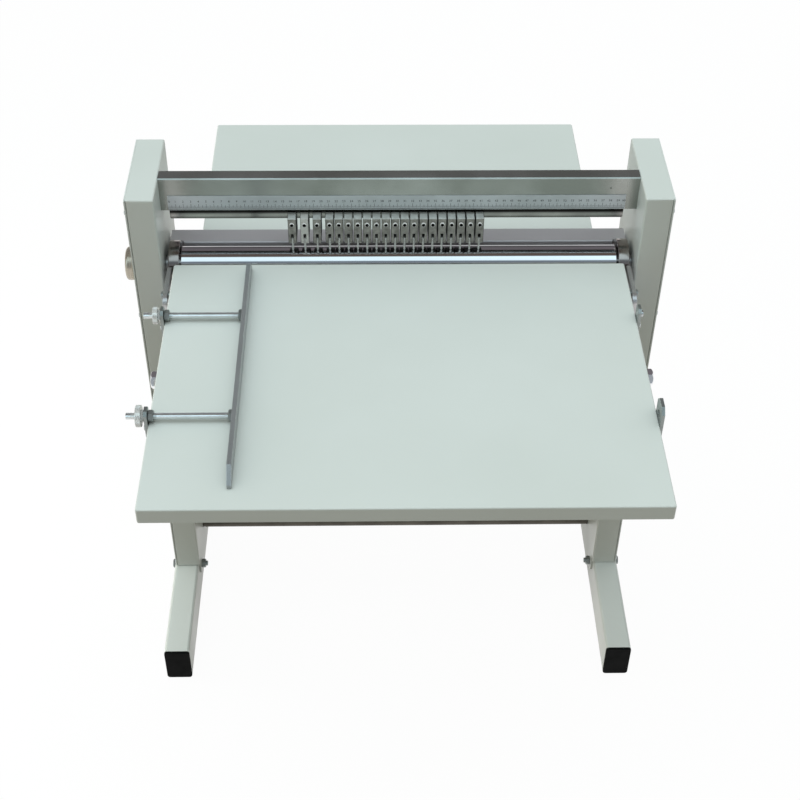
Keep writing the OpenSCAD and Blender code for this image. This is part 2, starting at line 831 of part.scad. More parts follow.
// Hex bolts at both ends of the stays, with nuts inside the table and inside the column
module stay_bolts() {
    m12_nut = 10;
    color(zinc) for (side = [-1, 1]) on_side(side) {
        bar_x(stay_x - m12_nut - bolt_tail, table_x + m12_head, m12_r, -stay_reach, stay_top_z);
        hex_x(table_x, table_x + m12_head, m12_flats, -stay_reach, stay_top_z);
        nut_x(stay_x - m12_nut, stay_x, m12_flats, m12_r + hole_clear, -stay_reach, stay_top_z);
        bar_x(stay_x - m12_head, wall_x + m12_nut + bolt_tail, m12_r, stay_back, stay_low_z);
        hex_x(stay_x - m12_head, stay_x, m12_flats, stay_back, stay_low_z);
        nut_x(wall_x, wall_x + m12_nut, m12_flats, m12_r + hole_clear, stay_back, stay_low_z);
        tube_x(stay_out, inner_x, m12_flats / 2, m12_r + hole_clear, stay_back, stay_low_z);
    }
}

// Upright tab with cut corners and a hole for a rod
module tab(width, rise) {
    low = width / 2;
    high = width / 4;
    top = table_top + rise;
    outline = [[-low, tab_z], [low, tab_z], [low, top - high], [high, top], [-high, top], [-low, top - high]];
    difference() {
        translate([tab_x, 0, 0]) rotate([90, 0, 90]) linear_extrude(tab_t) polygon(outline);
        bar_x(tab_x - cut, tab_out + cut, tab_hole, 0, rod_z);
        bar_x(tab_x - cut, tab_out + cut, m5_r + hole_clear, 0, tab_screw_z);
    }
}

module fence_tabs() {
    color(zinc) for (side = [-1, 1]) on_side(side) {
        translate([0, -rod_rear, 0]) tab(tab_w, tab_rise);
        translate([0, -rod_front, 0]) {
            if (side < 0) tab(tab_w, tab_rise);
            else tab(tab_w_wide, tab_rise_wide);
        }
    }
}

// Tab screws with their nuts, and a stud left in the right rear tab
module tab_screws() {
    lip_in = table_x - table_t;
    color(zinc) {
        at_tabs() {
            bar_x(lip_in - m5_nut - bolt_tail, tab_out + m5_head_h, m5_r, 0, tab_screw_z);
            bar_x(tab_out, tab_out + m5_head_h, m5_head_r, 0, tab_screw_z);
            nut_x(lip_in - m5_nut, lip_in, m5_nut_flats, m5_r + hole_clear, 0, tab_screw_z);
        }
        bar_x(tab_x, tab_out + stud_out, tab_hole - hole_clear, rod_ys[0], rod_z);
    }
}

// Flat bar with bevelled ends and blind holes for the rods
module side_fence() {
    top = fence_z + fence_h;
    heel = top - fence_bevel_h;
    outline = [[fence_y0, fence_z], [fence_y1, fence_z], [fence_y1, heel], [fence_y1 - fence_bevel_l, top],
               [fence_y0 + fence_bevel_l, top], [fence_y0, heel]];
    color(steel) difference() {
        translate([fence_x0, 0, 0]) rotate([90, 0, 90]) linear_extrude(fence_t) polygon(outline);
        for (y = rod_ys) bar_x(fence_x0 - cut, fence_x0 + fence_bite, rod_r + hole_clear, y, rod_z);
    }
}

module fence_rods() {
    color(zinc) for (y = rod_ys) bar_x(-tab_out - rod_tail, fence_x0 + fence_bite, rod_r, y, rod_z);
}

// Lock nuts against the fence
module fence_nuts() {
    color(zinc) for (y = rod_ys) {
        nut_x(fence_x0 - lock_nut, fence_x0, m8_flats, rod_r + hole_clear, y, rod_z);
    }
}

// Knurled nut with a hex hub, outside a left tab
module thumb_nut(y, r) {
    hub_x = -tab_out - face_gap;
    rim_x = hub_x - thumb_hub_t;
    color(zinc) difference() {
        union() {
            hex_x(rim_x, hub_x, m8_flats, y, rod_z);
            bar_x(rim_x - thumb_t, rim_x, r, y, rod_z);
        }
        bar_x(rim_x - thumb_t - cut, hub_x + cut, rod_r + run_clear, y, rod_z);
        for (i = [0 : thumb_ridges - 1]) {
            turn = i * 360 / thumb_ridges;
            bar_x(rim_x - thumb_t - cut, rim_x + cut, thumb_ridge_r,
                  y + r * cos(turn), rod_z + r * sin(turn));
        }
    }
}

// Hex nut inside a left tab
module jam_nut(y) {
    x0 = -tab_x + face_gap;
    color(zinc) nut_x(x0, x0 + m8_nut, m8_flats, rod_r + run_clear, y, rod_z);
}

place() column(-1);  // left_column
place() column(1);  // right_column
place() cover(-1);  // left_cover
place() cover(1);  // right_cover
place() cover_screws();
place() foot(-1);  // left_foot
place() foot(1);  // right_foot
place() foot_caps();
place() foot_bolts();
place() tie_bar();
place() cross_member();
place() knife_beam();
place() beam_bolts();
place() scale_strip();
place() knife_rail();
place() rail_screws();
place() anvil_roller();
place() collar(-1);  // left_collar
place() collar(1);  // right_collar
place() bearing(-1);  // left_bearing
place() bearing(1);  // right_bearing
place() hand_knob();
place() front_table();
place() rear_table();
place() rear_table_screws();
place() bracket(-1);  // left_bracket
place() bracket(1);  // right_bracket
place() bracket_bolts();
place() stay(-1);  // left_stay
place() stay(1);  // right_stay
place() stay_bolts();
place() fence_tabs();
place() tab_screws();
place() side_fence();
place() fence_rods();
place() fence_nuts();
place() thumb_nut(rod_ys[0], thumb_r_rear);  // rear_thumb_nut
place() thumb_nut(rod_ys[1], thumb_r_front);  // front_thumb_nut
place() jam_nut(rod_ys[0]);  // rear_jam_nut
place() jam_nut(rod_ys[1]);  // front_jam_nut
for (i = [0 : knife_count - 1]) {
    place() knife(i);
}
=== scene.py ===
from math import atan2, hypot, pi, radians, sqrt

import bpy
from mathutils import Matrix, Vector


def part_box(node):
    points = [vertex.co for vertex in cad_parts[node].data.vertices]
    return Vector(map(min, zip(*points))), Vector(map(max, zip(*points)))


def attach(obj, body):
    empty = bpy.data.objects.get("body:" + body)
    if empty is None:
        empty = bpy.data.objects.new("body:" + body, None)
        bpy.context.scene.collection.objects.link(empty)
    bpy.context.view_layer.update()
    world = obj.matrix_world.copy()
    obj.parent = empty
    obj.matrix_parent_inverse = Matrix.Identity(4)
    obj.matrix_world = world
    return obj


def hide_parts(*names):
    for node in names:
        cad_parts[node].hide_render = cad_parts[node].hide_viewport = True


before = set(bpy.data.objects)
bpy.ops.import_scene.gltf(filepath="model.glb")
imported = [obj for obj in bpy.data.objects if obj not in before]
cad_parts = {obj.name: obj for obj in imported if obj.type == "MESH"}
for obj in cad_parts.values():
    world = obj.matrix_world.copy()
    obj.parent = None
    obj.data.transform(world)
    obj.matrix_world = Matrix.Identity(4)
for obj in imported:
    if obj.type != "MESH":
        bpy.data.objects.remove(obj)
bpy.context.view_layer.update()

leftLow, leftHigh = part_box("left_column")
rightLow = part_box("right_column")[0]
origin = Vector(((leftHigh.x + rightLow.x) / 2, leftLow.y, 0))  # middle between the columns, their front, the floor
print("frame loaded, working origin at", tuple(round(v, 4) for v in origin))


# All sizes below are millimetres from that origin, the mesh itself is in metres.

flanks = ((-1, "left"), (1, "right"))
near, clear = 0.1, 1  # on a plane, and well clear of it
facing, crosswise = 0.9, 0.5  # along an axis from the first on, across it below the second
square = 0.999  # a flat face straight along an axis
spare = 2  # how far a cutting tool reaches past the surface


def inMetres(point):
    return origin + Vector(point) / 1000


def inMm(point):
    return (point - origin) * 1000


def leaveEdit():
    if bpy.context.object and bpy.context.object.mode != "OBJECT":
        bpy.ops.object.mode_set(mode="OBJECT")


def clearPick():
    leaveEdit()
    bpy.ops.object.select_all(action="DESELECT")


def activate(piece):
    clearPick()
    piece.select_set(True)
    bpy.context.view_layer.objects.active = piece


def enterEdit():
    bpy.ops.object.mode_set(mode="EDIT")


def openAll(piece):
    activate(piece)
    enterEdit()
    bpy.ops.mesh.select_all(action="SELECT")


def applyPlace(piece):
    activate(piece)
    bpy.ops.object.transform_apply(location=True, rotation=True, scale=True)
    return piece


def addBlock(name, low, high, tilt=0.0):
    clearPick()
    low, high = Vector(low), Vector(high)
    bpy.ops.mesh.primitive_cube_add(size=1, location=inMetres((low + high) / 2), rotation=(tilt, 0, 0))
    piece = bpy.context.object
    piece.name = name
    piece.scale = [abs(s) / 1000 for s in high - low]
    return applyPlace(piece)


def addRound(name, start, end, radius, sides, tipRadius=None):
    clearPick()
    start, end = Vector(start), Vector(end)
    along = end - start
    tip = radius if tipRadius is None else tipRadius
    bpy.ops.mesh.primitive_cone_add(vertices=sides, radius1=radius / 1000, radius2=tip / 1000,
                                    depth=along.length / 1000, location=inMetres((start + end) / 2),
                                    rotation=along.to_track_quat("Z", "Y").to_euler())
    piece = bpy.context.object
    piece.name = name
    return applyPlace(piece)


def addRod(name, start, end, y, z, radius, sides):
    return addRound(name, (start, y, z), (end, y, z), radius, sides)


def startPick(piece, kind):
    activate(piece)
    enterEdit()
    bpy.ops.mesh.select_mode(type=kind)
    bpy.ops.mesh.select_all(action="DESELECT")
    leaveEdit()


def pickFaces(piece, wanted):
    startPick(piece, "FACE")
    for face in piece.data.polygons:
        face.select = bool(wanted(inMm(face.center), face.normal))
    enterEdit()


def pickEdges(piece, wanted):
    startPick(piece, "EDGE")
    spots = piece.data.vertices
    for edge in piece.data.edges:
        a, b = (inMm(spots[i].co) for i in edge.vertices)
        edge.select = bool(wanted((a + b) / 2, (b - a).normalized()))
    enterEdit()


def roundEdges(piece, wanted, width, steps):
    pickEdges(piece, wanted)
    bpy.ops.mesh.bevel(offset=width / 1000, segments=steps, profile=0.5, affect="EDGES")
    leaveEdit()


def roundAlong(piece, axis, width, steps, where=lambda mid: True):
    roundEdges(piece, lambda mid, way: abs(getattr(way, axis)) > facing and where(mid), width, steps)


def roundAcross(piece, axis, width, steps, where=lambda mid: True):
    roundEdges(piece, lambda mid, way: abs(getattr(way, axis)) < crosswise and where(mid), width, steps)


def extrudePicked(step):
    bpy.ops.mesh.extrude_region_move(TRANSFORM_OT_translate={"value": Vector(step) / 1000})
    leaveEdit()


def pushFaces(piece, wanted, step):
    pickFaces(piece, wanted)
    extrudePicked(step)


def insetPicked(rim, depth=0.0, single=False):
    bpy.ops.mesh.inset(thickness=rim / 1000, depth=depth / 1000, use_individual=single, use_even_offset=True)


def insetFaces(piece, wanted, rim):  # stays in edit mode
    pickFaces(piece, wanted)
    insetPicked(rim)


def dropFaces(piece, wanted):
    pickFaces(piece, wanted)
    bpy.ops.mesh.delete(type="FACE")
    leaveEdit()


def splitAt(piece, point, normal, keepBelow=False):
    openAll(piece)
    bpy.ops.mesh.bisect(plane_co=inMetres(point), plane_no=normal, clear_outer=keepBelow, use_fill=keepBelow)
    leaveEdit()


def applyModifier(piece, kind, **values):
    activate(piece)
    made = piece.modifiers.new(kind.lower(), kind)
    for key, value in values.items():
        setattr(made, key, value)
    bpy.ops.object.modifier_apply(modifier=made.name)
    return piece


def repeatAlong(piece, count, step, **values):
    return applyModifier(piece, "ARRAY", count=count, use_relative_offset=False, use_constant_offset=True,
                         constant_offset_displace=(step / 1000, 0, 0), **values)


def thicken(piece, wall):
    return applyModifier(piece, "SOLIDIFY", thickness=wall / 1000, offset=-1, use_even_offset=True)


def softenEdges(piece, width, angle):
    return applyModifier(piece, "BEVEL", width=width / 1000, segments=2, limit_method="ANGLE",
                         angle_limit=radians(angle), use_clamp_overlap=True)


def combine(piece, tool, how):
    applyModifier(piece, "BOOLEAN", operation=how, object=tool, solver="EXACT")
    bpy.data.objects.remove(tool)
    return piece


def cutBlock(piece, low, high):
    return combine(piece, addBlock("cutter", low, high), "DIFFERENCE")


def drill(piece, start, end, radius, sides, tipRadius=None):
    return combine(piece, addRound("drill", start, end, radius, sides, tipRadius), "DIFFERENCE")


def drillAlong(piece, start, end, y, z, radius, sides):
    return drill(piece, (start, y, z), (end, y, z), radius, sides)


def joinAll(pieces, name):
    activate(pieces[0])
    for other in pieces[1:]:
        other.select_set(True)
    if len(pieces) > 1:
        bpy.ops.object.join()
    pieces[0].name = name
    return pieces[0]


def copyOf(piece, name, step, turn=0.0):
    activate(piece)
    bpy.ops.object.duplicate()
    twin = bpy.context.object
    twin.name = name
    twin.rotation_euler = (0, 0, turn)  # turned about the working origin, then moved
    middle = Vector((origin.x, origin.y, 0))
    spun = Vector((-middle.x, -middle.y, 0)) if turn else middle
    twin.location = middle - spun + Vector(step) / 1000
    return applyPlace(twin)


def settle(piece, look, slot, body, *nodes, angle=33):
    activate(piece)
    bpy.ops.object.shade_smooth_by_angle(angle=radians(angle))
    applyModifier(piece, "WEIGHTED_NORMAL", mode="FACE_AREA", keep_sharp=True)
    piece.data.materials.clear()
    piece.data.materials.append(look)
    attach(piece, body)
    if nodes:
        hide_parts(*nodes)
    return piece


# Finishes

def addNode(look, kind, inputs, **settings):
    node = look.node_tree.nodes.new("ShaderNode" + kind)
    for key, value in settings.items():
        setattr(node, key, value)
    for key, value in inputs.items():
        if isinstance(value, bpy.types.NodeSocket):
            look.node_tree.links.new(value, node.inputs[key])
        else:
            node.inputs[key].default_value = value
    return node


def addNoise(look, coords, scale, detail, stretch=(1, 1, 1), shift=(0, 0, 0)):
    laid = addNode(look, "Mapping", {"Vector": coords, "Scale": stretch, "Location": shift})
    return addNode(look, "TexNoise", {"Vector": laid.outputs[0], "Scale": scale, "Detail": detail}).outputs["Fac"]


def addRamp(look, value, stops):
    ramp = addNode(look, "ValToRGB", {"Fac": value})
    marks = ramp.color_ramp.elements
    while len(marks) < len(stops):
        marks.new(0.5)
    for mark, (spot, tone) in zip(marks, stops):
        mark.position = spot
        mark.color = (*tone, 1) if hasattr(tone, "__len__") else (tone, tone, tone, 1)
    return ramp.outputs["Color"]


def addRange(look, value, low, high):  # 0 at low, 1 at high
    return addNode(look, "MapRange", {"Value": value, "From Min": low, "From Max": high}).outputs["Result"]


def addMix(look, share, first, second, blend="MIX"):
    return addNode(look, "Mix", {0: share, 6: first, 7: second}, data_type="RGBA", blend_type=blend).outputs[2]


# edges are made lighter in patches: partly real wear, partly painted highlight along edges
edgeWearAndHighlight = {"samples": 4, "flat": 0.995, "edge": 0.86, "shift": (7, 2, 4), "whole": 0.35, "rubbed": 0.6}


# mixes a lighter tone onto the edges, real wear together with painted edge highlights
def addWear(look, coords, surface, values):
    rounded = addNode(look, "Bevel", {"Radius": values["rubWidth"] / 1000}, samples=edgeWearAndHighlight["samples"])
    flat = addNode(look, "NewGeometry", {})
    dot = addNode(look, "VectorMath", {0: rounded.outputs["Normal"], 1: flat.outputs["Normal"]},
                  operation="DOT_PRODUCT")
    edge = addRange(look, dot.outputs["Value"], edgeWearAndHighlight["flat"], edgeWearAndHighlight["edge"])  # 1 on an edge, 0 on the flat
    spots = addNoise(look, coords, values["wearAndHighlightSpots"], 4, shift=edgeWearAndHighlight["shift"])
    patchy = addRamp(look, spots, [(edgeWearAndHighlight["whole"], 0.0), (edgeWearAndHighlight["rubbed"], values["rubbed"])])
    broken = addNode(look, "Math", {0: edge, 1: patchy}, operation="MULTIPLY")
    return addMix(look, broken.outputs[0], surface, (*values["wearAndHighlightTone"], 1))


def makeLook(name, metallic, values, patches, span, lines, bump, strength, depth):
    look = bpy.data.materials.new(name)
    look.use_nodes = True
    links, shader = look.node_tree.links, look.node_tree.nodes["Principled BSDF"]
    shader.inputs["Metallic"].default_value = metallic
    shader.inputs["Roughness"].default_value = values["gloss"][0]
    shader.inputs["Base Color"].default_value = (*values["tone"], 1)
    coords = addNode(look, "TexCoord", {}).outputs["Object"]
    surface = addRamp(look, addNoise(look, coords, *patches), [(span[0], values["shade"]), (span[1], values["tone"])])
    links.new(addWear(look, coords, surface, values), shader.inputs["Base Color"])
    dulled = addNoise(look, coords, *lines)
    links.new(addRamp(look, dulled, [(0.3, values["gloss"][0]), (0.7, values["gloss"][1])]), shader.inputs["Roughness"])
    height = addNoise(look, coords, *bump) if bump else dulled
    relief = addNode(look, "Bump", {"Strength": strength, "Distance": depth / 1000, "Height": height})
    links.new(relief.outputs["Normal"], shader.inputs["Normal"])
    return look, shader


def makePaint(name, base, **changes):
    values = dict(base, **changes)
    look, shader = makeLook(name, 0.0, values, (values["cloud"], 4), (0.3, 0.7),
                            (values["rub"], 5, (1, 1, 1), (3, 1, 2)), (values["peel"], 2),
                            values["peelStrength"], values["peelDepth"])
    shader.inputs["Specular IOR Level"].default_value = values["shine"]
    return look


def makeMetal(name, base, **changes):
    values = dict(base, **changes)
    return makeLook(name, values["bare"], values, (values["patch"], 5), values.get("patchSpan", (0.34, 0.66)),
                    (values["lines"], 3, values["stretch"], (2, 5, 1)), None, values["lineStrength"],
                    values["lineDepth"])[0]


def addGrime(look, stops):  # painted shade by height, darker bands where shade falls; heights in metres with the tone there
    shader = look.node_tree.nodes["Principled BSDF"]
    height = addNode(look, "SeparateXYZ", {0: addNode(look, "TexCoord", {}).outputs["Object"]}).outputs["Z"]
    low, high = stops[0][0], stops[-1][0]
    shadeRamp = addRamp(look, addRange(look, height, low, high), [((z - low) / (high - low), tone) for z, tone in stops])
    unshaded = shader.inputs["Base Color"].links[0].from_socket
    look.node_tree.links.new(addMix(look, 1.0, unshaded, shadeRamp, "MULTIPLY"), shader.inputs["Base Color"])


paint = {"tone": (0.685, 0.715, 0.69), "shade": (0.655, 0.685, 0.655), "cloud": 5.0, "rub": 11.0, "gloss": (0.3, 0.42),
         "shine": 0.5, "peel": 850.0, "peelStrength": 0.12, "peelDepth": 0.25, "rubWidth": 1.2, "wearAndHighlightSpots": 60.0,
         "rubbed": 0.5, "wearAndHighlightTone": (0.8, 0.82, 0.8)}
blackCap = {"tone": (0.009, 0.0092, 0.0092), "shade": (0.005, 0.0052, 0.0052), "cloud": 30.0, "rub": 60.0,
            "gloss": (0.5, 0.66), "shine": 0.05, "peel": 1600.0, "peelStrength": 0.35, "peelDepth": 0.15,
            "rubWidth": 0.8, "wearAndHighlightSpots": 300.0, "rubbed": 0.6, "wearAndHighlightTone": (0.03, 0.03, 0.03)}
beamSteel = {"bare": 0.88, "tone": (0.42, 0.432, 0.407), "shade": (0.285, 0.295, 0.27), "patch": 8.0,
             "patchSpan": (0.36, 0.64), "rubWidth": 0.8, "wearAndHighlightSpots": 40.0, "rubbed": 0.8,
             "wearAndHighlightTone": (0.86, 0.88, 0.87), "lines": 24.0, "stretch": (1, 55, 55), "gloss": (0.22, 0.26),
             "lineStrength": 0.02, "lineDepth": 0.02}
# painted shade on the rail: dark along its bottom edge and over its upper part under the beam
railPaintedShade = ((0.6945, 0.05), (0.698, 0.7), (0.7005, 1.0), (0.703, 0.55), (0.7048, 0.04))
holderSteel = {"bare": 0.2, "tone": (0.62, 0.65, 0.635), "shade": (0.48, 0.505, 0.49), "patch": 120.0,
               "rubWidth": 0.7, "wearAndHighlightSpots": 200.0, "rubbed": 0.8,
               "wearAndHighlightTone": (0.9, 0.91, 0.89), "lines": 130.0, "stretch": (1, 1, 14), "gloss": (0.36, 0.5),
               "lineStrength": 0.2, "lineDepth": 0.05}
rollerChrome = {"bare": 1.0, "tone": (0.68, 0.68, 0.69), "shade": (0.63, 0.63, 0.64), "patch": 8.0,
                "rubWidth": 0.8, "wearAndHighlightSpots": 60.0, "rubbed": 0.5,
                "wearAndHighlightTone": (0.8, 0.8, 0.8), "lines": 30.0, "stretch": (60, 1, 1), "gloss": (0.04, 0.09),
                "lineStrength": 0.04, "lineDepth": 0.02}
zincPlate = {"bare": 0.85, "tone": (0.6, 0.625, 0.63), "shade": (0.47, 0.49, 0.495), "patch": 70.0,
             "rubWidth": 0.6, "wearAndHighlightSpots": 150.0, "rubbed": 0.35,
             "wearAndHighlightTone": (0.8, 0.82, 0.82), "lines": 160.0, "stretch": (1, 1, 1), "gloss": (0.2, 0.36),
             "lineStrength": 0.12, "lineDepth": 0.05}

paintLook = makePaint("cabinet paint", paint)
stayLook = makePaint("stay paint", paint, tone=(0.42, 0.43, 0.40), shade=(0.36, 0.37, 0.345), gloss=(0.42, 0.55))
capLook = makePaint("black cap plastic", blackCap)
beamLook = makeMetal("ground beam steel", beamSteel)
scaleLook = makeMetal("satin ruler steel", beamSteel, tone=(0.53, 0.555, 0.575), shade=(0.46, 0.485, 0.5),
                      gloss=(0.36, 0.5), patch=14.0)
railLook = makeMetal("rail steel", beamSteel, bare=1.0, tone=(0.5, 0.49, 0.455), shade=(0.33, 0.32, 0.3),
                     gloss=(0.16, 0.26), patch=16.0)
# the rail gets painted shade along its bottom edge and under the beam
addGrime(railLook, railPaintedShade)
fenceLook = makeMetal("fence steel", beamSteel, bare=0.6, tone=(0.4, 0.415, 0.42), shade=(0.35, 0.364, 0.37),
                      gloss=(0.26, 0.4), stretch=(55, 1, 55))
darkLook = makeMetal("browned bar", beamSteel, rubbed=0.2, tone=(0.125, 0.115, 0.094), shade=(0.08, 0.073, 0.06),
                     gloss=(0.38, 0.55), patch=22.0)
crossLook = makeMetal("satin cross steel", beamSteel, bare=0.45, tone=(0.61, 0.59, 0.615), shade=(0.52, 0.502, 0.522),
                      gloss=(0.3, 0.42), patch=3.0)
holderLook = makeMetal("holder steel", holderSteel)
brightLook = makeMetal("new holder steel", holderSteel, tone=(0.72, 0.725, 0.7), shade=(0.6, 0.605, 0.58))
# painted shade: a darker copy of the holder steel for the fronts, while the tops keep the lighter tone
shadedFrontLook = makeMetal("holder fronts painted shade", holderSteel, tone=(0.37, 0.365, 0.338), shade=(0.21, 0.206, 0.19),
                      patch=150.0)
# painted shade: holder sides and undersides made near black, as if in shadow between and under the knives
shadedSidesLook = makeMetal("holder sides painted shade", holderSteel, tone=(0.06, 0.06, 0.057), shade=(0.035, 0.035, 0.033),
                     gloss=(0.5, 0.65), rubbed=0.1)
clampLook = makeMetal("clamp screw steel", holderSteel, bare=0.5, tone=(0.93, 0.92, 0.9), shade=(0.86, 0.85, 0.83),
                      gloss=(0.18, 0.28))
pinLook = makeMetal("blade steel", holderSteel, bare=0.1, tone=(0.74, 0.76, 0.74), shade=(0.62, 0.64, 0.62),
                    gloss=(0.3, 0.42))
rollerLook = makeMetal("polished roller", rollerChrome)
collarLook = makeMetal("turned collar steel", rollerChrome, tone=(0.34, 0.305, 0.285), shade=(0.28, 0.25, 0.235),
                       gloss=(0.14, 0.22), lineStrength=0.08, rubbed=0.3)
knobLook = makeMetal("satin nickel", rollerChrome, bare=0.7, tone=(0.51, 0.462, 0.385), shade=(0.445, 0.4, 0.33),
                     gloss=(0.24, 0.36), patch=25.0)
zincLook = makeMetal("zinc plate", zincPlate)
dullLook = makeMetal("dull zinc", zincPlate, bare=0.75, tone=(0.33, 0.355, 0.345), shade=(0.24, 0.26, 0.25),
                     gloss=(0.28, 0.42))
wheelLook = makeMetal("wheel zinc", zincPlate, bare=0.45, tone=(0.8, 0.8, 0.78), shade=(0.7, 0.7, 0.68),
                      lineStrength=0.04)
rodLook = makeMetal("rod zinc", zincPlate, tone=(0.76, 0.79, 0.8), shade=(0.68, 0.71, 0.72), gloss=(0.16, 0.26),
                    lineStrength=0.05)
bracketLook = makeMetal("bracket steel", zincPlate, tone=(0.58, 0.57, 0.57), shade=(0.48, 0.47, 0.47),
                        gloss=(0.3, 0.42), patch=20.0)
boltLook = makeMetal("bright bolt", zincPlate, bare=1.0, tone=(0.92, 0.93, 0.94), shade=(0.8, 0.81, 0.82),
                     gloss=(0.05, 0.1), rubWidth=1.2, rubbed=0.8)
ironLook = makeMetal("bearing iron", zincPlate, rubbed=0.2, tone=(0.12, 0.115, 0.11), shade=(0.08, 0.078, 0.075),
                     gloss=(0.4, 0.6))
# painted shade: near black for the inside of the clamp screw sockets and the holders' deep windows
socketShadeLook = makePaint("socket painted shade", blackCap, tone=(0.006, 0.006, 0.006), shade=(0.004, 0.004, 0.004))
inkLook = makePaint("ruler ink", blackCap, tone=(0.03, 0.03, 0.032), shade=(0.02, 0.02, 0.022), peelStrength=0.05)
print("finishes made:", len(bpy.data.materials))


# Fasteners along X

hexShape = {"cornerUp": 0.95, "slack": 0.01, "wider": 1.002, "chamfer": 0.475}
fastener = {"tail": 3, "lap": 1}  # past the nut, and into the head


def hexPiece(name, start, end, flats, y, z, bore=0.0, both=True):
    corner = flats / sqrt(3)
    piece = addRod(name, start, end, y, z, corner, 6)
    highest = max(inMm(v.co).z for v in piece.data.vertices)
    if highest > z + hexShape["cornerUp"] * corner:  # a corner is up: turn it so that a flat is
        openAll(piece)
        bpy.ops.transform.rotate(value=pi / 6, orient_axis="X", center_override=inMetres((start, y, z)))
        leaveEdit()
    slack = hexShape["slack"]
    cone = addRod(name + "Turned", start - slack, end + slack, y, z, corner * hexShape["wider"], 48)
    ends = [start, end] if both else [end]
    roundAcross(cone, "x", corner - flats * hexShape["chamfer"], 1,
                lambda mid: min(abs(mid.x - e) for e in ends) < near)
    combine(piece, cone, "INTERSECT")
    if bore:
        drillAlong(piece, min(start, end) - spare, max(start, end) + spare, y, z, bore, 32)
    return piece


def shankPiece(name, start, end, radius, y, z, chamfer=0.5):
    piece = addRod(name, start, end, y, z, radius, 32)
    roundAcross(piece, "x", chamfer, 2)
    return piece


def boltSet(side, size, seat, nutSeat, y, z, chamfer=0.5):
    out = 1 if seat > nutSeat else -1  # the way the head points
    nutEnd = nutSeat - out * size["nut"]
    shank = sorted((nutEnd - out * fastener["tail"], seat + out * fastener["lap"]))
    return [hexPiece("head", side * seat, side * (seat + out * size["head"]), size["flats"], y, z, both=False),
            hexPiece("nut", side * nutSeat, side * nutEnd, size["flats"], y, z),
            shankPiece("shank", side * shank[0], side * shank[1], size["shank"], y, z, chamfer)]


def buttonSet(side, size, seat, nutSeat, y, z):
    top, nutEnd = seat + size["height"], nutSeat - size["nut"]
    head = addRod("button", side * seat, side * top, y, z, size["radius"], 32)
    roundAcross(head, "x", size["crown"], 4, lambda mid: abs(mid.x) > seat + clear)
    drillAlong(head, side * (seat + size["keyFrom"]), side * (top + spare), y, z, size["key"], 6)
    return [head, hexPiece("nut", side * nutSeat, side * nutEnd, size["flats"], y, z),
            shankPiece("shank", side * (nutEnd - fastener["tail"]), side * (seat + size["lap"]), size["shank"], y, z)]


# Columns, covers and feet

axle = (42, 631)  # y and z of the roller's axis
column = {"inner": 313, "edge": 349, "depth": 145, "low": 60, "high": 761, "wall": 2, "fold": 2.6, "flange": 12,
          "lugLow": 35, "lugInset": 5, "lugLap": 3, "lugCorner": 5, "shaftHole": 12}
columnBack = column["inner"] + column["wall"]  # where nuts sit inside the column
for side, label in flanks:
    piece = addBlock(label + "Column", (side * column["inner"], 0, column["low"]),
                     (side * column["edge"], column["depth"], column["high"]))
    roundEdges(piece, lambda mid, way: abs(mid.x) < column["edge"] - clear or abs(way.z) > facing, column["fold"], 4)
    insetFaces(piece, lambda mid, n: n.x * side > square, column["flange"] - column["fold"])
    bpy.ops.mesh.delete(type="FACE")  # open towards the cover
    leaveEdit()
    thicken(piece, column["wall"])
    lug = addBlock("lug", (side * column["inner"], column["lugInset"], column["lugLow"]),
                   (side * columnBack, column["depth"] - column["lugInset"], column["low"] + column["lugLap"]))
    roundAlong(lug, "x", column["lugCorner"], 4, lambda mid: mid.z < column["low"])
    combine(piece, lug, "UNION")
    drillAlong(piece, side * (column["inner"] - spare), side * (columnBack + spare), *axle, column["shaftHole"], 48)
    settle(piece, paintLook, "paint", "frame", label + "_column")

cover = {"inside": 349.06, "outside": 351, "corner": 2.6, "edge": 0.4, "stubHole": 7}
for side, label in flanks:
    piece = addBlock(label + "Cover", (side * cover["inside"], 0, column["low"]),
                     (side * cover["outside"], column["depth"], column["high"]))
    roundAlong(piece, "x", cover["corner"], 4)
    softenEdges(piece, cover["edge"], 60)
    if side < 0:  # the knob's shaft comes through on the left
        drillAlong(piece, -cover["outside"] - spare, -cover["inside"] + spare, *axle, cover["stubHole"], 48)
    settle(piece, paintLook, "paint", "frame", label + "_cover")

panScrew = {"radius": 3.4, "head": 1.8, "crown": 1.3, "shank": 2.0, "lap": 0.2, "tail": 344, "slot": 0.8,
            "slotLength": 3.8, "slotDepth": 1.0, "rows": 5, "firstRow": 66, "lastRow": 739, "inset": 6}
seat, top = -cover["outside"], -cover["outside"] - panScrew["head"]
screw = addRod("coverScrew", seat, top, 0, 0, panScrew["radius"], 32)
roundAcross(screw, "x", panScrew["crown"], 4, lambda mid: mid.x < seat - clear)
for across, up in ((panScrew["slot"], panScrew["slotLength"]), (panScrew["slotLength"], panScrew["slot"])):
    cutBlock(screw, (top - spare, -across / 2, -up / 2), (top + panScrew["slotDepth"], across / 2, up / 2))
shank = shankPiece("shank", -panScrew["tail"], seat - panScrew["lap"], panScrew["shank"], 0, 0)
screw = joinAll([screw, shank], "coverScrew")
copies = []
for i in range(panScrew["rows"]):
    height = panScrew["firstRow"] + i * (panScrew["lastRow"] - panScrew["firstRow"]) / (panScrew["rows"] - 1)
    for y in (panScrew["inset"], column["depth"] - panScrew["inset"]):
        copies.append(copyOf(screw, "screwLeft", (0, y, height)))
        copies.append(copyOf(screw, "screwRight", (0, y, height), pi))
bpy.data.objects.remove(screw)
settle(joinAll(copies, "coverScrews"), zincLook, "zinc", "frame", "cover_screws")

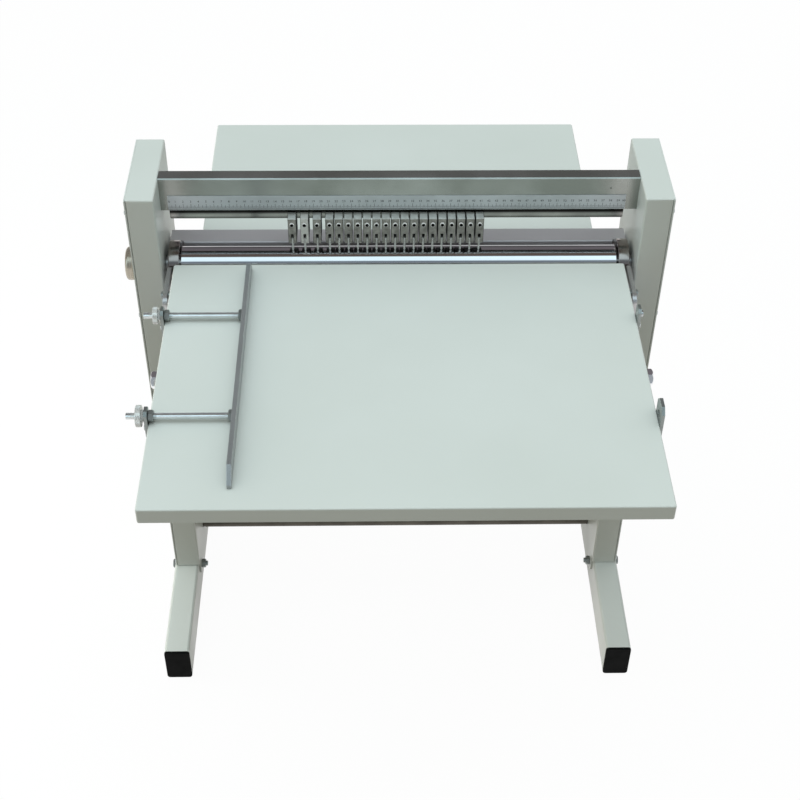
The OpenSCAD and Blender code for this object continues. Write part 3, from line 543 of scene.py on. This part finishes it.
foot = {"inner": 315.3, "outer": 353.3, "front": -173, "back": 318, "height": 60, "wall": 2, "corner": 4.5, "cap": 4,
        "plug": 15, "plugGap": 0.1, "capEdge": 1.6}
for side, label in flanks:
    piece = addBlock(label + "Foot", (side * foot["inner"], foot["front"] + foot["cap"], 0),
                     (side * foot["outer"], foot["back"] - foot["cap"], foot["height"]))
    roundAlong(piece, "y", foot["corner"], 5)
    dropFaces(piece, lambda mid, n: abs(n.y) > facing)
    thicken(piece, foot["wall"])
    settle(piece, paintLook, "paint", "frame", label + "_foot")

caps = []
for side, label in flanks:
    for out, y in ((-1, foot["front"]), (1, foot["back"])):
        cap = addBlock("cap", (side * foot["inner"], y, 0),
                       (side * foot["outer"], y - out * foot["cap"], foot["height"]))
        roundAlong(cap, "y", foot["corner"], 5)
        roundAcross(cap, "y", foot["capEdge"], 3, lambda mid: abs(mid.y - y) < near)
        insetFaces(cap, lambda mid, n: n.y * -out > facing, foot["wall"] + foot["plugGap"])
        extrudePicked((0, -out * foot["plug"], 0))
        caps.append(cap)
settle(joinAll(caps, "footCaps"), capLook, "black_cap", "frame", "foot_caps")

footBolt = {"y": (20, 125), "z": 43.5, "flats": 13, "head": 5.3, "nut": 6.5, "shank": 4}
bolts = []
for side, label in flanks:
    for y in footBolt["y"]:
        bolts += boltSet(side, footBolt, foot["outer"], column["inner"], y, footBolt["z"])
settle(joinAll(bolts, "footBolts"), dullLook, "zinc", "frame", "foot_bolts")

tie = {"radius": 10, "y": 80, "z": 79, "end": 313, "neck": 1.0, "shoulder": 3}
piece = addRod("tieBar", -tie["end"], tie["end"], tie["y"], tie["z"], tie["radius"], 64)
for side, label in flanks:
    splitAt(piece, (side * (tie["end"] - tie["shoulder"]), 0, 0), (1, 0, 0))
roundAcross(piece, "x", tie["neck"], 2, lambda mid: abs(mid.x) > tie["end"] - near)
settle(piece, darkLook, "dark_bar", "frame", "tie_bar")
print("columns, covers and feet done")


# Cross member behind the roller

cross = {"end": 310, "front": 71, "back": 101, "low": 604.5, "high": 644.5, "wall": 2, "fold": 2.4, "tongue": 4,
         "tongueIn": 289.5, "tongueTop": 622.5, "tongueEdge": 1.2, "notchIn": 291.5, "notchBack": 74}
piece = addBlock("crossMember", (-cross["end"], cross["front"], cross["low"]),
                 (cross["end"], cross["back"], cross["high"]))
roundAlong(piece, "x", cross["fold"], 4, lambda mid: mid.z > cross["low"] + clear)
dropFaces(piece, lambda mid, n: n.z < -facing)
thicken(piece, cross["wall"])
for side, label in flanks:
    tongue = addBlock("tongue", (side * cross["tongueIn"], cross["front"] + cross["tongue"], cross["low"]),
                      (side * column["inner"], cross["back"] - cross["tongue"], cross["tongueTop"]))
    roundAlong(tongue, "x", cross["tongueEdge"], 2)
    combine(piece, tongue, "UNION")
    cutBlock(piece, (side * cross["notchIn"], cross["front"] - spare, cross["low"] - spare),
             (side * (cross["end"] + spare), cross["notchBack"], cross["high"] + spare))  # room for the collar
settle(piece, crossLook, "beam_steel", "frame", "cross_member")


# Knife beam, ruler and rail

beam = {"end": 313, "front": 49, "back": 69, "low": 712, "high": 761, "chamfer": 1.4, "edge": 0.5,
        "pitX": 275.6, "pitZ": 745.3, "pitFrom": 48.5, "pitTo": 51, "pitRadius": 1.5, "pitEnd": 0.3}
piece = addBlock("knifeBeam", (-beam["end"], beam["front"], beam["low"]), (beam["end"], beam["back"], beam["high"]))
roundAlong(piece, "x", beam["chamfer"], 1, lambda mid: mid.z > beam["high"] - clear)
roundAlong(piece, "x", beam["edge"], 2, lambda mid: mid.z < beam["low"] + clear)
drill(piece, (beam["pitX"], beam["pitFrom"], beam["pitZ"]), (beam["pitX"], beam["pitTo"], beam["pitZ"]),
      beam["pitRadius"], 24, beam["pitEnd"])
settle(piece, beamLook, "beam_steel", "frame", "knife_beam")

ruler = {"start": -303, "end": 297, "cm": 10, "front": 48.2, "back": 49, "low": 713, "high": 735, "edge": 0.25,
         "mark": 0.04, "longTick": (716.2, 722.6), "midTick": (716.2, 720.4), "shortTick": (716.2, 718.6),
         "lineWidth": 0.42, "fineWidth": 0.22, "numberSize": 4.6, "numberMiddle": 726.2, "nudge": (2.0, -2.4),
         "groove": (714.2, 714.9), "grooveShort": 2}
piece = addBlock("scaleStrip", (ruler["start"], ruler["front"], ruler["low"]),
                 (ruler["end"], ruler["back"], ruler["high"]))
roundEdges(piece, lambda mid, way: mid.y < ruler["front"] + near, ruler["edge"], 2)
settle(piece, scaleLook, "scale_steel", "frame", "scale_strip")


def tickRow(name, first, step, count, width, span):
    clearPick()
    middle = (first, ruler["front"], (span[0] + span[1]) / 2)
    bpy.ops.mesh.primitive_plane_add(size=1, location=inMetres(middle), rotation=(pi / 2, 0, 0))
    tick = bpy.context.object
    tick.name = name
    tick.scale = (width / 1000, (span[1] - span[0]) / 1000, 1)
    applyPlace(tick)
    pushFaces(tick, lambda mid, n: True, (0, -ruler["mark"], 0))
    openAll(tick)
    bpy.ops.mesh.normals_make_consistent(inside=False)
    leaveEdit()
    return repeatAlong(tick, count, step)


start, cm, length = ruler["start"], ruler["cm"], ruler["end"] - ruler["start"]
count = length // cm
marks = [tickRow("cmTicks", start + cm, cm, count - 1, ruler["lineWidth"], ruler["longTick"]),
         tickRow("halfTicks", start + cm / 2, cm, count, ruler["lineWidth"], ruler["midTick"]),
         tickRow("mmTicks", start + 1, 1, length - 1, ruler["fineWidth"], ruler["shortTick"]),
         tickRow("baseLine", start + length / 2, 1, 1, length - ruler["grooveShort"], ruler["groove"])]
nudges = {0: ruler["nudge"][0], count: ruler["nudge"][1]}  # the end numbers stay on the strip
for number in range(count + 1):
    clearPick()
    spot = (start + number * cm + nudges.get(number, 0.0), ruler["front"], ruler["numberMiddle"])
    bpy.ops.object.text_add(location=inMetres(spot), rotation=(pi / 2, 0, 0))
    words = bpy.context.object
    words.data.body = str(number)
    words.data.size = ruler["numberSize"] / 1000
    words.data.align_x, words.data.align_y = "CENTER", "CENTER"
    words.data.extrude = ruler["mark"] / 1000
    words.data.resolution_u = 2
    bpy.ops.object.convert(target="MESH")
    marks.append(applyPlace(bpy.context.object))
settle(joinAll(marks, "scaleMarks"), inkLook, "scale_steel", "frame")

rail = {"start": -303, "end": 297, "front": 54.5, "neckBack": 62.5, "headBack": 68.5, "low": 695, "shoulder": 703,
        "high": 712, "corner": 2.2, "edge": 0.5, "screws": 6, "screwY": 58.5, "sunk": 3.85, "sunkDepth": 4}
piece = addBlock("knifeRail", (rail["start"], rail["front"], rail["low"]),
                 (rail["end"], rail["headBack"], rail["shoulder"]))
splitAt(piece, (0, rail["neckBack"], 0), (0, 1, 0))
pushFaces(piece, lambda mid, n: n.z > facing and mid.y < rail["neckBack"], (0, 0, rail["high"] - rail["shoulder"]))
roundAlong(piece, "y", rail["corner"], 4, lambda mid: mid.z < rail["low"] + near)
softenEdges(piece, rail["edge"], 50)
for i in range(rail["screws"]):
    x = rail["start"] + (i + 0.5) * (rail["end"] - rail["start"]) / rail["screws"]
    drill(piece, (x, rail["screwY"], rail["low"] - spare), (x, rail["screwY"], rail["low"] + rail["sunkDepth"]),
          rail["sunk"], 32)
settle(piece, railLook, "rail_steel", "frame", "knife_rail")
print("beam, ruler and rail done")


# Knives: one holder with its screw and blade, copied along the rail

holder = {"half": 5.5, "front": 38, "back": 54.2, "low": 666, "top": 705, "jawTop": 694.7, "hookFront": 68.8,
          "hookBack": 72.5, "hookTop": 708, "lipFront": 63.3, "lipLow": 703.3, "edge": 0.5, "slot": 1.35,
          "slotTop": 674, "pinY": 39.4, "screwZ": 697, "window": 1.9, "windowLow": 672.6, "windowTop": 681,
          "windowBack": 47, "sideways": 0.35, "flat": 0.99}
block = addBlock("holderModel", (-holder["half"], holder["front"], holder["low"]),
                 (holder["half"], holder["back"], holder["top"]))
splitAt(block, (0, 0, holder["jawTop"]), (0, 0, 1))
pushFaces(block, lambda mid, n: n.y > facing and mid.z < holder["jawTop"],
          (0, holder["hookFront"] - holder["back"], 0))
pushFaces(block, lambda mid, n: n.y > facing and mid.y > holder["back"] + clear,
          (0, holder["hookBack"] - holder["hookFront"], 0))
for low, high in ((holder["jawTop"], holder["lipLow"]), (holder["lipLow"], holder["hookTop"])):
    pushFaces(block, lambda mid, n: n.z > facing and mid.y > holder["hookFront"], (0, 0, high - low))
pushFaces(block, lambda mid, n: n.y < -facing and mid.y > holder["hookFront"] - clear and mid.z > holder["lipLow"],
          (0, holder["lipFront"] - holder["hookFront"], 0))
softenEdges(block, holder["edge"], 50)
cutBlock(block, (-holder["slot"], holder["front"] - spare, holder["low"] - spare),
         (holder["slot"], holder["pinY"], holder["slotTop"]))
drill(block, (0, holder["pinY"], holder["low"] - spare), (0, holder["pinY"], holder["slotTop"]), holder["slot"], 24)
cutBlock(block, (-holder["window"], holder["front"] - spare, holder["windowLow"]),
         (holder["window"], holder["windowBack"], holder["windowTop"]))  # deep window above the blade

clamp = {"seat": 37.9, "top": 34.9, "radius": 3.2, "key": 3.8, "keyDepth": 2.4, "shank": 1.45, "shankFrom": 37.5,
         "shankTo": 39.9, "edge": 0.8}
screwZ = holder["screwZ"]
cap = addRound("clampModel", (0, clamp["seat"], screwZ), (0, clamp["top"], screwZ), clamp["radius"], 40)
roundAcross(cap, "y", clamp["edge"], 3)
drill(cap, (0, clamp["top"] - spare, screwZ), (0, clamp["top"] + clamp["keyDepth"], screwZ), clamp["key"] / sqrt(3), 6)
shaft = addRound("shaft", (0, clamp["shankFrom"], screwZ), (0, clamp["shankTo"], screwZ), clamp["shank"], 20)
cap = joinAll([cap, shaft], "clampModel")

blade = {"radius": 1.3, "tip": 0.5, "low": 654.2, "point": 1.2, "high": 673.5, "edge": 0.3}
pin = addRound("bladeModel", (0, holder["pinY"], blade["low"] + blade["point"]), (0, holder["pinY"], blade["high"]),
               blade["radius"], 24)
pushFaces(pin, lambda mid, n: n.z < -facing, (0, 0, -blade["point"]))
pickFaces(pin, lambda mid, n: n.z < -facing)
bpy.ops.transform.resize(value=(blade["tip"] / blade["radius"],) * 2 + (1,),
                         center_override=inMetres((0, holder["pinY"], blade["low"])))
leaveEdit()
roundAcross(pin, "z", blade["edge"], 2, lambda mid: mid.z > blade["high"] - near)

knives = {"count": 20, "last": 106, "pitch": 12.4, "spread": 4.05, "loose": 3, "bright": (2,)}
for i in range(knives["count"]):
    x = knives["last"] - (knives["count"] - 1 - i) * knives["pitch"] - max(knives["loose"] - i, 0) * knives["spread"]
    number = f"{i + 1:02d}"
    body = "knife_" + number
    # the second look puts painted shade on the fronts, except on the bright knife
    look, front = (brightLook, brightLook) if i + 1 in knives["bright"] else (holderLook, shadedFrontLook)
    piece = settle(copyOf(block, "knifeHolder_" + number, (x, 0, 0)), look, "holder_steel", body, body)
    for other in (socketShadeLook, shadedSidesLook, front):
        piece.data.materials.append(other)
    for face in piece.data.polygons:
        spot = inMm(face.center)
        if abs(face.normal.x) > holder["sideways"] or face.normal.z < -holder["flat"]:  # painted shade on the sides and underside
            face.material_index = 2
        # painted shade on the front faces
        elif face.normal.y < -holder["flat"]:
            face.material_index = 3
        isDeep = holder["front"] + holder["edge"] < spot.y < holder["windowBack"] + near
        isHigh = holder["slotTop"] + near < spot.z < holder["windowTop"] + near
        # painted shade inside the deep window
        if isDeep and isHigh and abs(spot.x - x) < holder["window"] + near:
            face.material_index = 1
    screw = settle(copyOf(cap, "clampScrew_" + number, (x, 0, 0)), clampLook, "holder_steel", body)
    screw.data.materials.append(socketShadeLook)
    for face in screw.data.polygons:
        spot = inMm(face.center)
        out = hypot(spot.x - x, spot.z - screwZ)
        # painted shade inside the hex socket
        if out < clamp["key"] / 2 + near and spot.y < clamp["shankFrom"] - near / 2:
            face.material_index = 1
    settle(copyOf(pin, "bladePin_" + number, (x, 0, 0)), pinLook, "holder_steel", body)
for model in (block, cap, pin):
    bpy.data.objects.remove(model)
print("knives done:", knives["count"])


# Anvil roller with its collars and the hand knob

roller = {"radius": 23, "end": 291, "shaft": 10, "shaftEnd": 337, "stub": 6, "stubEnd": -362, "edge": 0.8,
          "collar": 31, "collarIn": 292.5, "collarOut": 307, "collarEdge": 1.0, "collarFit": 0.05}
piece = addRod("anvilRoller", -roller["end"], roller["end"], *axle, roller["radius"], 160)
roundAcross(piece, "x", roller["edge"], 2)
for side, label in flanks:
    insetFaces(piece, lambda mid, n: n.x * side > square and mid.x * side > roller["end"] - near,
               roller["radius"] - roller["edge"] - roller["shaft"])
    extrudePicked((side * (roller["shaftEnd"] - roller["end"]), 0, 0))
insetFaces(piece, lambda mid, n: n.x < -square and mid.x < -roller["shaftEnd"] + near, roller["shaft"] - roller["stub"])
extrudePicked((roller["stubEnd"] + roller["shaftEnd"], 0, 0))
settle(piece, rollerLook, "roller_chrome", "roller", "anvil_roller")

for side, label in flanks:
    inner, outer = roller["collarIn"], roller["collarOut"]
    piece = addRod(label + "Collar", side * inner, side * outer, *axle, roller["collar"], 128)
    roundAcross(piece, "x", roller["collarEdge"], 3)
    drillAlong(piece, side * (inner - spare), side * (outer + spare), *axle, roller["shaft"] + roller["collarFit"], 64)
    settle(piece, collarLook, "collar_steel", "roller", label + "_collar")

knob = {"radius": 22.5, "inside": -353, "outside": -366, "edge": 4, "dish": 0.7, "dishRim": 5, "dishEdge": 1.2,
        "bore": 6.05, "boreDepth": 9}
piece = addRod("handKnob", knob["inside"], knob["outside"], *axle, knob["radius"], 96)
roundAcross(piece, "x", knob["edge"], 6)
insetFaces(piece, lambda mid, n: n.x < -square and mid.x < knob["outside"] + near, knob["dishRim"])
insetPicked(knob["dishEdge"], -knob["dish"])
leaveEdit()
drillAlong(piece, knob["inside"] + spare, knob["inside"] - knob["boreDepth"], *axle, knob["bore"], 48)
settle(piece, knobLook, "knob_nickel", "roller", "hand_knob")
print("roller done")


# Tables

tables = {"frontTable": {"node": "front_table", "half": 298, "near": -433.5, "far": 9, "top": 653.5},
          "rearTable": {"node": "rear_table", "half": 270, "near": 101, "far": 384, "top": 634.5}}
tray = {"lip": 20, "sheet": 2, "corner": 3, "fold": 1.8}
for name, size in tables.items():
    piece = addBlock(name, (-size["half"], size["near"], size["top"] - tray["lip"]),
                     (size["half"], size["far"], size["top"]))
    roundAlong(piece, "z", tray["corner"], 6)
    roundAcross(piece, "z", tray["fold"], 4, lambda mid: mid.z > size["top"] - near)
    dropFaces(piece, lambda mid, n: n.z < -facing)
    thicken(piece, tray["sheet"])
    settle(piece, paintLook, "paint", "frame", size["node"])
lipOut = tables["frontTable"]["half"]
lipIn = lipOut - tray["sheet"]

bracket = {"in": 301, "out": 307, "front": -62, "back": 8, "armLow": 600, "top": 650, "round": 14, "web": 18,
           "legLow": 552, "legHigh": 598, "hold": 70, "edge": 0.6}
for side, label in flanks:
    piece = addBlock(label + "Bracket", (side * bracket["in"], bracket["front"], bracket["armLow"]),
                     (side * bracket["out"], bracket["back"], bracket["top"]))
    splitAt(piece, (0, bracket["back"] - bracket["web"], 0), (0, 1, 0))
    isWebFoot = lambda mid, n: n.z < -facing and mid.y > bracket["back"] - bracket["web"]
    pushFaces(piece, isWebFoot, (0, 0, bracket["legHigh"] - bracket["armLow"]))
    pushFaces(piece, isWebFoot, (0, 0, bracket["legLow"] - bracket["legHigh"]))
    pushFaces(piece, lambda mid, n: n.y > facing and mid.z < bracket["legHigh"],
              (0, bracket["hold"] - bracket["back"], 0))
    isFrontTop = lambda mid: mid.y < bracket["front"] + near and mid.z > bracket["top"] - near
    roundAlong(piece, "x", bracket["round"], 8, isFrontTop)
    softenEdges(piece, bracket["edge"], 50)
    settle(piece, bracketLook, "paint", "frame", label + "_bracket")

stay = {"in": 292, "out": 296, "width": 21, "top": (-205, 640.5), "foot": (25, 468.5), "round": 10.2, "edge": 0.5}
run, fall = stay["foot"][0] - stay["top"][0], stay["top"][1] - stay["foot"][1]
middle = ((stay["top"][0] + stay["foot"][0]) / 2, (stay["top"][1] + stay["foot"][1]) / 2)
halfLong, halfWide = (hypot(run, fall) + stay["width"]) / 2, stay["width"] / 2
for side, label in flanks:
    piece = addBlock(label + "Stay", (side * stay["in"], middle[0] - halfLong, middle[1] - halfWide),
                     (side * stay["out"], middle[0] + halfLong, middle[1] + halfWide), -atan2(fall, run))
    roundAlong(piece, "x", stay["round"], 10)
    softenEdges(piece, stay["edge"], 60)
    settle(piece, stayLook, "paint", "frame", label + "_stay")

bracketBolt = {"y": (16, 55), "z": 575, "flats": 13, "head": 5.3, "nut": 6.5, "shank": 4, "spacer": 8}
lipBolt = {"spot": (-43, 643.5), "shank": 3, "flats": 10, "nut": 5, "lap": 0.5, "spacer": 5, "spacerEdge": 0.2,
           "radius": 5, "height": 3.3, "crown": 1.6, "keyFrom": 1.4, "key": 2.3}
stayBolt = {"flats": 19, "head": 7.5, "nut": 10, "shank": 6, "shankEdge": 0.8, "spacer": 9.5}
bolts, bigBolts = [], []
for side, label in flanks:
    for y in bracketBolt["y"]:
        spot = (y, bracketBolt["z"])
        bolts += boltSet(side, bracketBolt, bracket["in"], columnBack, *spot)
        bolts.append(shankPiece("spacer", side * bracket["out"], side * column["inner"], bracketBolt["spacer"], *spot))
    bolts += buttonSet(side, lipBolt, bracket["out"], lipIn, *lipBolt["spot"])
    bolts.append(shankPiece("spacer", side * lipOut, side * bracket["in"], lipBolt["spacer"], *lipBolt["spot"],
                            lipBolt["spacerEdge"]))
    bigBolts += boltSet(side, stayBolt, lipOut, stay["in"], *stay["top"], stayBolt["shankEdge"])  # head outside
    bigBolts += boltSet(side, stayBolt, stay["in"], columnBack, *stay["foot"], stayBolt["shankEdge"])  # head inside
    bigBolts.append(shankPiece("spacer", side * stay["out"], side * column["inner"], stayBolt["spacer"], *stay["foot"]))
settle(joinAll(bolts, "bracketBolts"), dullLook, "zinc", "frame", "bracket_bolts")
settle(joinAll(bigBolts, "stayBolts"), boltLook, "zinc", "frame", "stay_bolts")
print("tables, brackets and stays done")


# Side fence with its tabs, rods and nuts

rods = {"y": (-106.7, -291), "z": 661.5, "radius": 4, "root": 3.72, "pitch": 1.25, "start": -323.5, "end": -195.5,
        "merge": 0.02}
tabs = {"in": 298, "out": 302, "low": 635.5, "width": 18, "top": 672.5, "wide": 30, "tall": 678.5, "hole": 4.4,
        "edge": 0.35, "studOut": 3.5, "studFit": 0.05, "studEdge": 0.6}
tabScrew = {"z": 643.5, "radius": 4.2, "height": 2.4, "crown": 1.5, "keyFrom": 1, "key": 1.7, "shank": 2.5, "lap": 0.5,
            "flats": 8, "nut": 4}
pieces, screws = [], []
for side, label in flanks:
    for y in rods["y"]:
        isWide = side > 0 and y == rods["y"][1]  # the right front tab is the big one
        width, top = (tabs["wide"], tabs["tall"]) if isWide else (tabs["width"], tabs["top"])
        tab = addBlock("tab", (side * tabs["in"], y - width / 2, tabs["low"]), (side * tabs["out"], y + width / 2, top))
        roundAlong(tab, "x", width / 4, 1, lambda mid: mid.z > top - near)
        softenEdges(tab, tabs["edge"], 40)
        pieces.append(drillAlong(tab, side * (tabs["in"] - spare), side * (tabs["out"] + spare), y, rods["z"],
                                 tabs["hole"], 32))
        screws += buttonSet(side, tabScrew, tabs["out"], lipIn, y, tabScrew["z"])
screws.append(shankPiece("stud", tabs["in"], tabs["out"] + tabs["studOut"], tabs["hole"] - tabs["studFit"],
                         rods["y"][0], rods["z"], tabs["studEdge"]))
settle(joinAll(pieces, "fenceTabs"), dullLook, "zinc", "frame", "fence_tabs")
settle(joinAll(screws, "tabScrews"), zincLook, "zinc", "frame", "tab_screws")

fence = {"left": -199.5, "right": -194, "near": -402, "far": -2, "low": 653.8, "high": 675.8, "bevelRun": 17,
         "bevelFall": 8, "edge": 0.35}
piece = addBlock("sideFence", (fence["left"], fence["near"], fence["low"]),
                 (fence["right"], fence["far"], fence["high"]))
for end, way in ((fence["near"], -1), (fence["far"], 1)):
    splitAt(piece, (0, end - way * fence["bevelRun"], fence["high"]), (0, way * fence["bevelFall"], fence["bevelRun"]),
            True)
softenEdges(piece, fence["edge"], 20)
settle(piece, fenceLook, "beam_steel", "fence", "side_fence")

threads = []
crest = rods["start"] + rods["pitch"] / 2
for y in rods["y"]:
    turn = addRod("thread", rods["start"], rods["start"] + rods["pitch"], y, rods["z"], rods["root"], 24)
    splitAt(turn, (crest, 0, 0), (1, 0, 0))
    dropFaces(turn, lambda mid, n: abs(n.x) > facing)
    pickEdges(turn, lambda mid, way: abs(mid.x - crest) < near / 10 and abs(way.x) < crosswise)
    bpy.ops.transform.resize(value=(1,) + (rods["radius"] / rods["root"],) * 2,
                             center_override=inMetres((crest, y, rods["z"])))
    leaveEdit()
    repeatAlong(turn, int((rods["end"] - rods["start"]) / rods["pitch"]), rods["pitch"], use_merge_vertices=True,
                merge_threshold=rods["merge"] / 1000)
    openAll(turn)
    bpy.ops.mesh.fill_holes(sides=0)
    bpy.ops.mesh.normals_make_consistent(inside=False)
    leaveEdit()
    threads.append(turn)
settle(joinAll(threads, "fenceRods"), rodLook, "zinc", "fence", "fence_rods", angle=40)

nuts = {"flats": 13, "lock": 5, "jam": (-297.7, -291.2), "hub": (-302.3, -305.3), "rim": -311.8, "thumb": (11, 13),
        "bore": 4.04, "flutes": 48, "flute": 0.15, "fluteDepth": 0.14, "edge": 0.7, "faceRim": 2.2, "step": 0.8,
        "stepDepth": 0.6}
locks = [hexPiece("lock", fence["left"], fence["left"] - nuts["lock"], nuts["flats"], y, rods["z"], nuts["bore"])
         for y in rods["y"]]
settle(joinAll(locks, "fenceNuts"), dullLook, "zinc", "fence", "fence_nuts")
for y, label, radius in zip(rods["y"], ("rear", "front"), nuts["thumb"]):
    jam = hexPiece(label + "JamNut", *nuts["jam"], nuts["flats"], y, rods["z"], nuts["bore"])
    settle(jam, dullLook, "zinc", label + "_nuts", label + "_jam_nut")
    wheel = addRod("wheel", nuts["hub"][1], nuts["rim"], y, rods["z"], radius, nuts["flutes"] * 2)
    roundAcross(wheel, "x", nuts["edge"], 2)
    pickFaces(wheel, lambda mid, n: abs(n.x) < 1 - facing)
    insetPicked(nuts["flute"], -nuts["fluteDepth"], True)
    leaveEdit()
    insetFaces(wheel, lambda mid, n: n.x < -square and abs(mid.x - nuts["rim"]) < near, nuts["faceRim"])
    insetPicked(nuts["step"], -nuts["stepDepth"])
    leaveEdit()
    drillAlong(wheel, nuts["hub"][1] + spare, nuts["rim"] - spare, y, rods["z"], nuts["bore"], 32)
    hub = hexPiece("hub", nuts["hub"][1], nuts["hub"][0], nuts["flats"], y, rods["z"], nuts["bore"], False)
    settle(joinAll([wheel, hub], label + "ThumbNut"), wheelLook, "zinc", label + "_nuts", label + "_thumb_nut")
print("fence done")


# Solids whose shape is right keep it and get their finish

kept = {"beam_bolts": zincLook, "rail_screws": darkLook, "rear_table_screws": zincLook, "left_bearing": ironLook,
        "right_bearing": ironLook}
for name, look in kept.items():
    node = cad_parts[name]
    for holding in node.material_slots:
        holding.material = look


# Floor, light and camera

def seenDirectly(look, path):
    rays, ways = path.outputs["Is Camera Ray"], ("Is Glossy Ray", "Is Transmission Ray")
    for name in ways:
        rays = addNode(look, "Math", {0: rays, 1: path.outputs[name]}, operation="ADD", use_clamp=True).outputs[0]
    return rays


def blendShaders(look, share, first, second):
    return addNode(look, "MixShader", {0: share, 1: first.outputs[0], 2: second.outputs[0]})


floorPlan = {"size": 40, "drop": 0.0005, "bounce": (0.27, 0.24, 0.19), "shown": 0.93, "glow": 0.96}
clearPick()
bpy.ops.mesh.primitive_plane_add(size=floorPlan["size"], location=(0, 0, -floorPlan["drop"]))
floor = bpy.context.object
floor.name = "floor"
floorLook = bpy.data.materials.new("pale floor")
floorLook.use_nodes = True
floorLook.node_tree.nodes.clear()
path = addNode(floorLook, "LightPath", {})
plain = addNode(floorLook, "BsdfDiffuse", {"Color": (*floorPlan["bounce"], 1)})
shown = addNode(floorLook, "BsdfDiffuse", {"Color": (floorPlan["shown"],) * 3 + (1,)})
glow = addNode(floorLook, "Emission", {"Strength": 1.0})
pale = blendShaders(floorLook, floorPlan["glow"], shown, glow)
pick = blendShaders(floorLook, seenDirectly(floorLook, path), plain, pale)
addNode(floorLook, "OutputMaterial", {"Surface": pick.outputs[0]})
floor.data.materials.append(floorLook)

sky = {"dome": ((0.0, (0.4, 0.36, 0.285)), (0.35, (0.5, 0.485, 0.42)), (0.75, (0.74, 0.82, 0.82)),
                (1.0, (0.93, 1.06, 1.09))), "fill": 1.0,
       "sides": ((0.0, 1.38), (0.5, 0.96), (1.0, 0.88)), "depth": ((0.0, 1.15), (0.5, 1.06), (1.0, 0.53)),
       "horizon": ((0.02, 0.0), (0.1, 1.0)),
       "room": ((0.0, (0.07, 0.066, 0.07)), (0.07, (0.17, 0.155, 0.17)), (0.25, (0.17, 0.152, 0.16)),
                (0.5, (0.14, 0.113, 0.097)), (0.6, (0.13, 0.105, 0.09)), (0.64, (1.2, 1.5, 1.62)),
                (0.82, (1.15, 1.42, 1.55)), (0.86, (0.2, 0.25, 0.3)), (1.0, (0.4, 0.42, 0.44)))}
white = (1, 1, 1, 1)
world = bpy.data.worlds.new("studio")
bpy.context.scene.world = world
world.use_nodes = True
world.node_tree.nodes.clear()
path = addNode(world, "LightPath", {})
way = addNode(world, "SeparateXYZ", {0: addNode(world, "TexCoord", {}).outputs["Generated"]}).outputs
fromLeft, fromBack = addRange(world, way["X"], -1.0, 1.0), addRange(world, way["Y"], 1.0, -1.0)
dome = addMix(world, 1.0, addRamp(world, way["Z"], sky["dome"]), addRamp(world, fromLeft, sky["sides"]), "MULTIPLY")
shaded = addMix(world, 1.0, dome, addRamp(world, fromBack, sky["depth"]), "MULTIPLY")
overhead = addMix(world, addRamp(world, way["Z"], sky["horizon"]), white, addRamp(world, fromBack, sky["room"]))
fill = addNode(world, "Background", {"Color": shaded, "Strength": sky["fill"]})
blank = addNode(world, "Background", {"Color": white})
room = addNode(world, "Background", {"Color": overhead})  # polished metal mirrors a dim room with a bright window
pick = blendShaders(world, seenDirectly(world, path), fill, blank)
mirror = blendShaders(world, path.outputs["Is Glossy Ray"], pick, room)
addNode(world, "OutputWorld", {"Surface": mirror.outputs[0]})

lamps = {"key": {"place": (-0.3, -0.5, 5.0), "aim": (0, -0.2, 0.65), "size": (4, 3), "power": 62,
                 "tone": (0.86, 0.98, 1.0)},
         "lowLeft": {"place": (-1.7, 0.08, 0.55), "aim": (-0.34, -0.05, 0.05), "size": (0.3, 0.3), "power": 10,
                     "tone": (1.0, 0.98, 0.9)}}
for name, values in lamps.items():
    lamp = bpy.data.objects.new(name, bpy.data.lights.new(name, "AREA"))
    bpy.context.scene.collection.objects.link(lamp)
    lamp.location = values["place"]
    lamp.rotation_euler = (Vector(values["aim"]) - Vector(values["place"])).to_track_quat("-Z", "Y").to_euler()
    lamp.data.shape = "RECTANGLE"
    lamp.data.size, lamp.data.size_y = values["size"]
    lamp.data.energy = values["power"]
    lamp.data.color = values["tone"]
    lamp.visible_glossy = False  # polished metal mirrors the room instead

shot = {"place": (-0.03342, -1.4878, 1.80897), "turn": (47.37843, -0.50726, -1.02986), "lens": 64.69, "sensor": 36}
camera = bpy.data.objects.new("camera", bpy.data.cameras.new("camera"))
bpy.context.scene.collection.objects.link(camera)
camera.location = shot["place"]
camera.rotation_euler = [radians(a) for a in shot["turn"]]
camera.data.lens = shot["lens"]
camera.data.sensor_width = shot["sensor"]
bpy.context.scene.camera = camera
bpy.context.scene.view_settings.view_transform = "Standard"

bpy.context.view_layer.update()
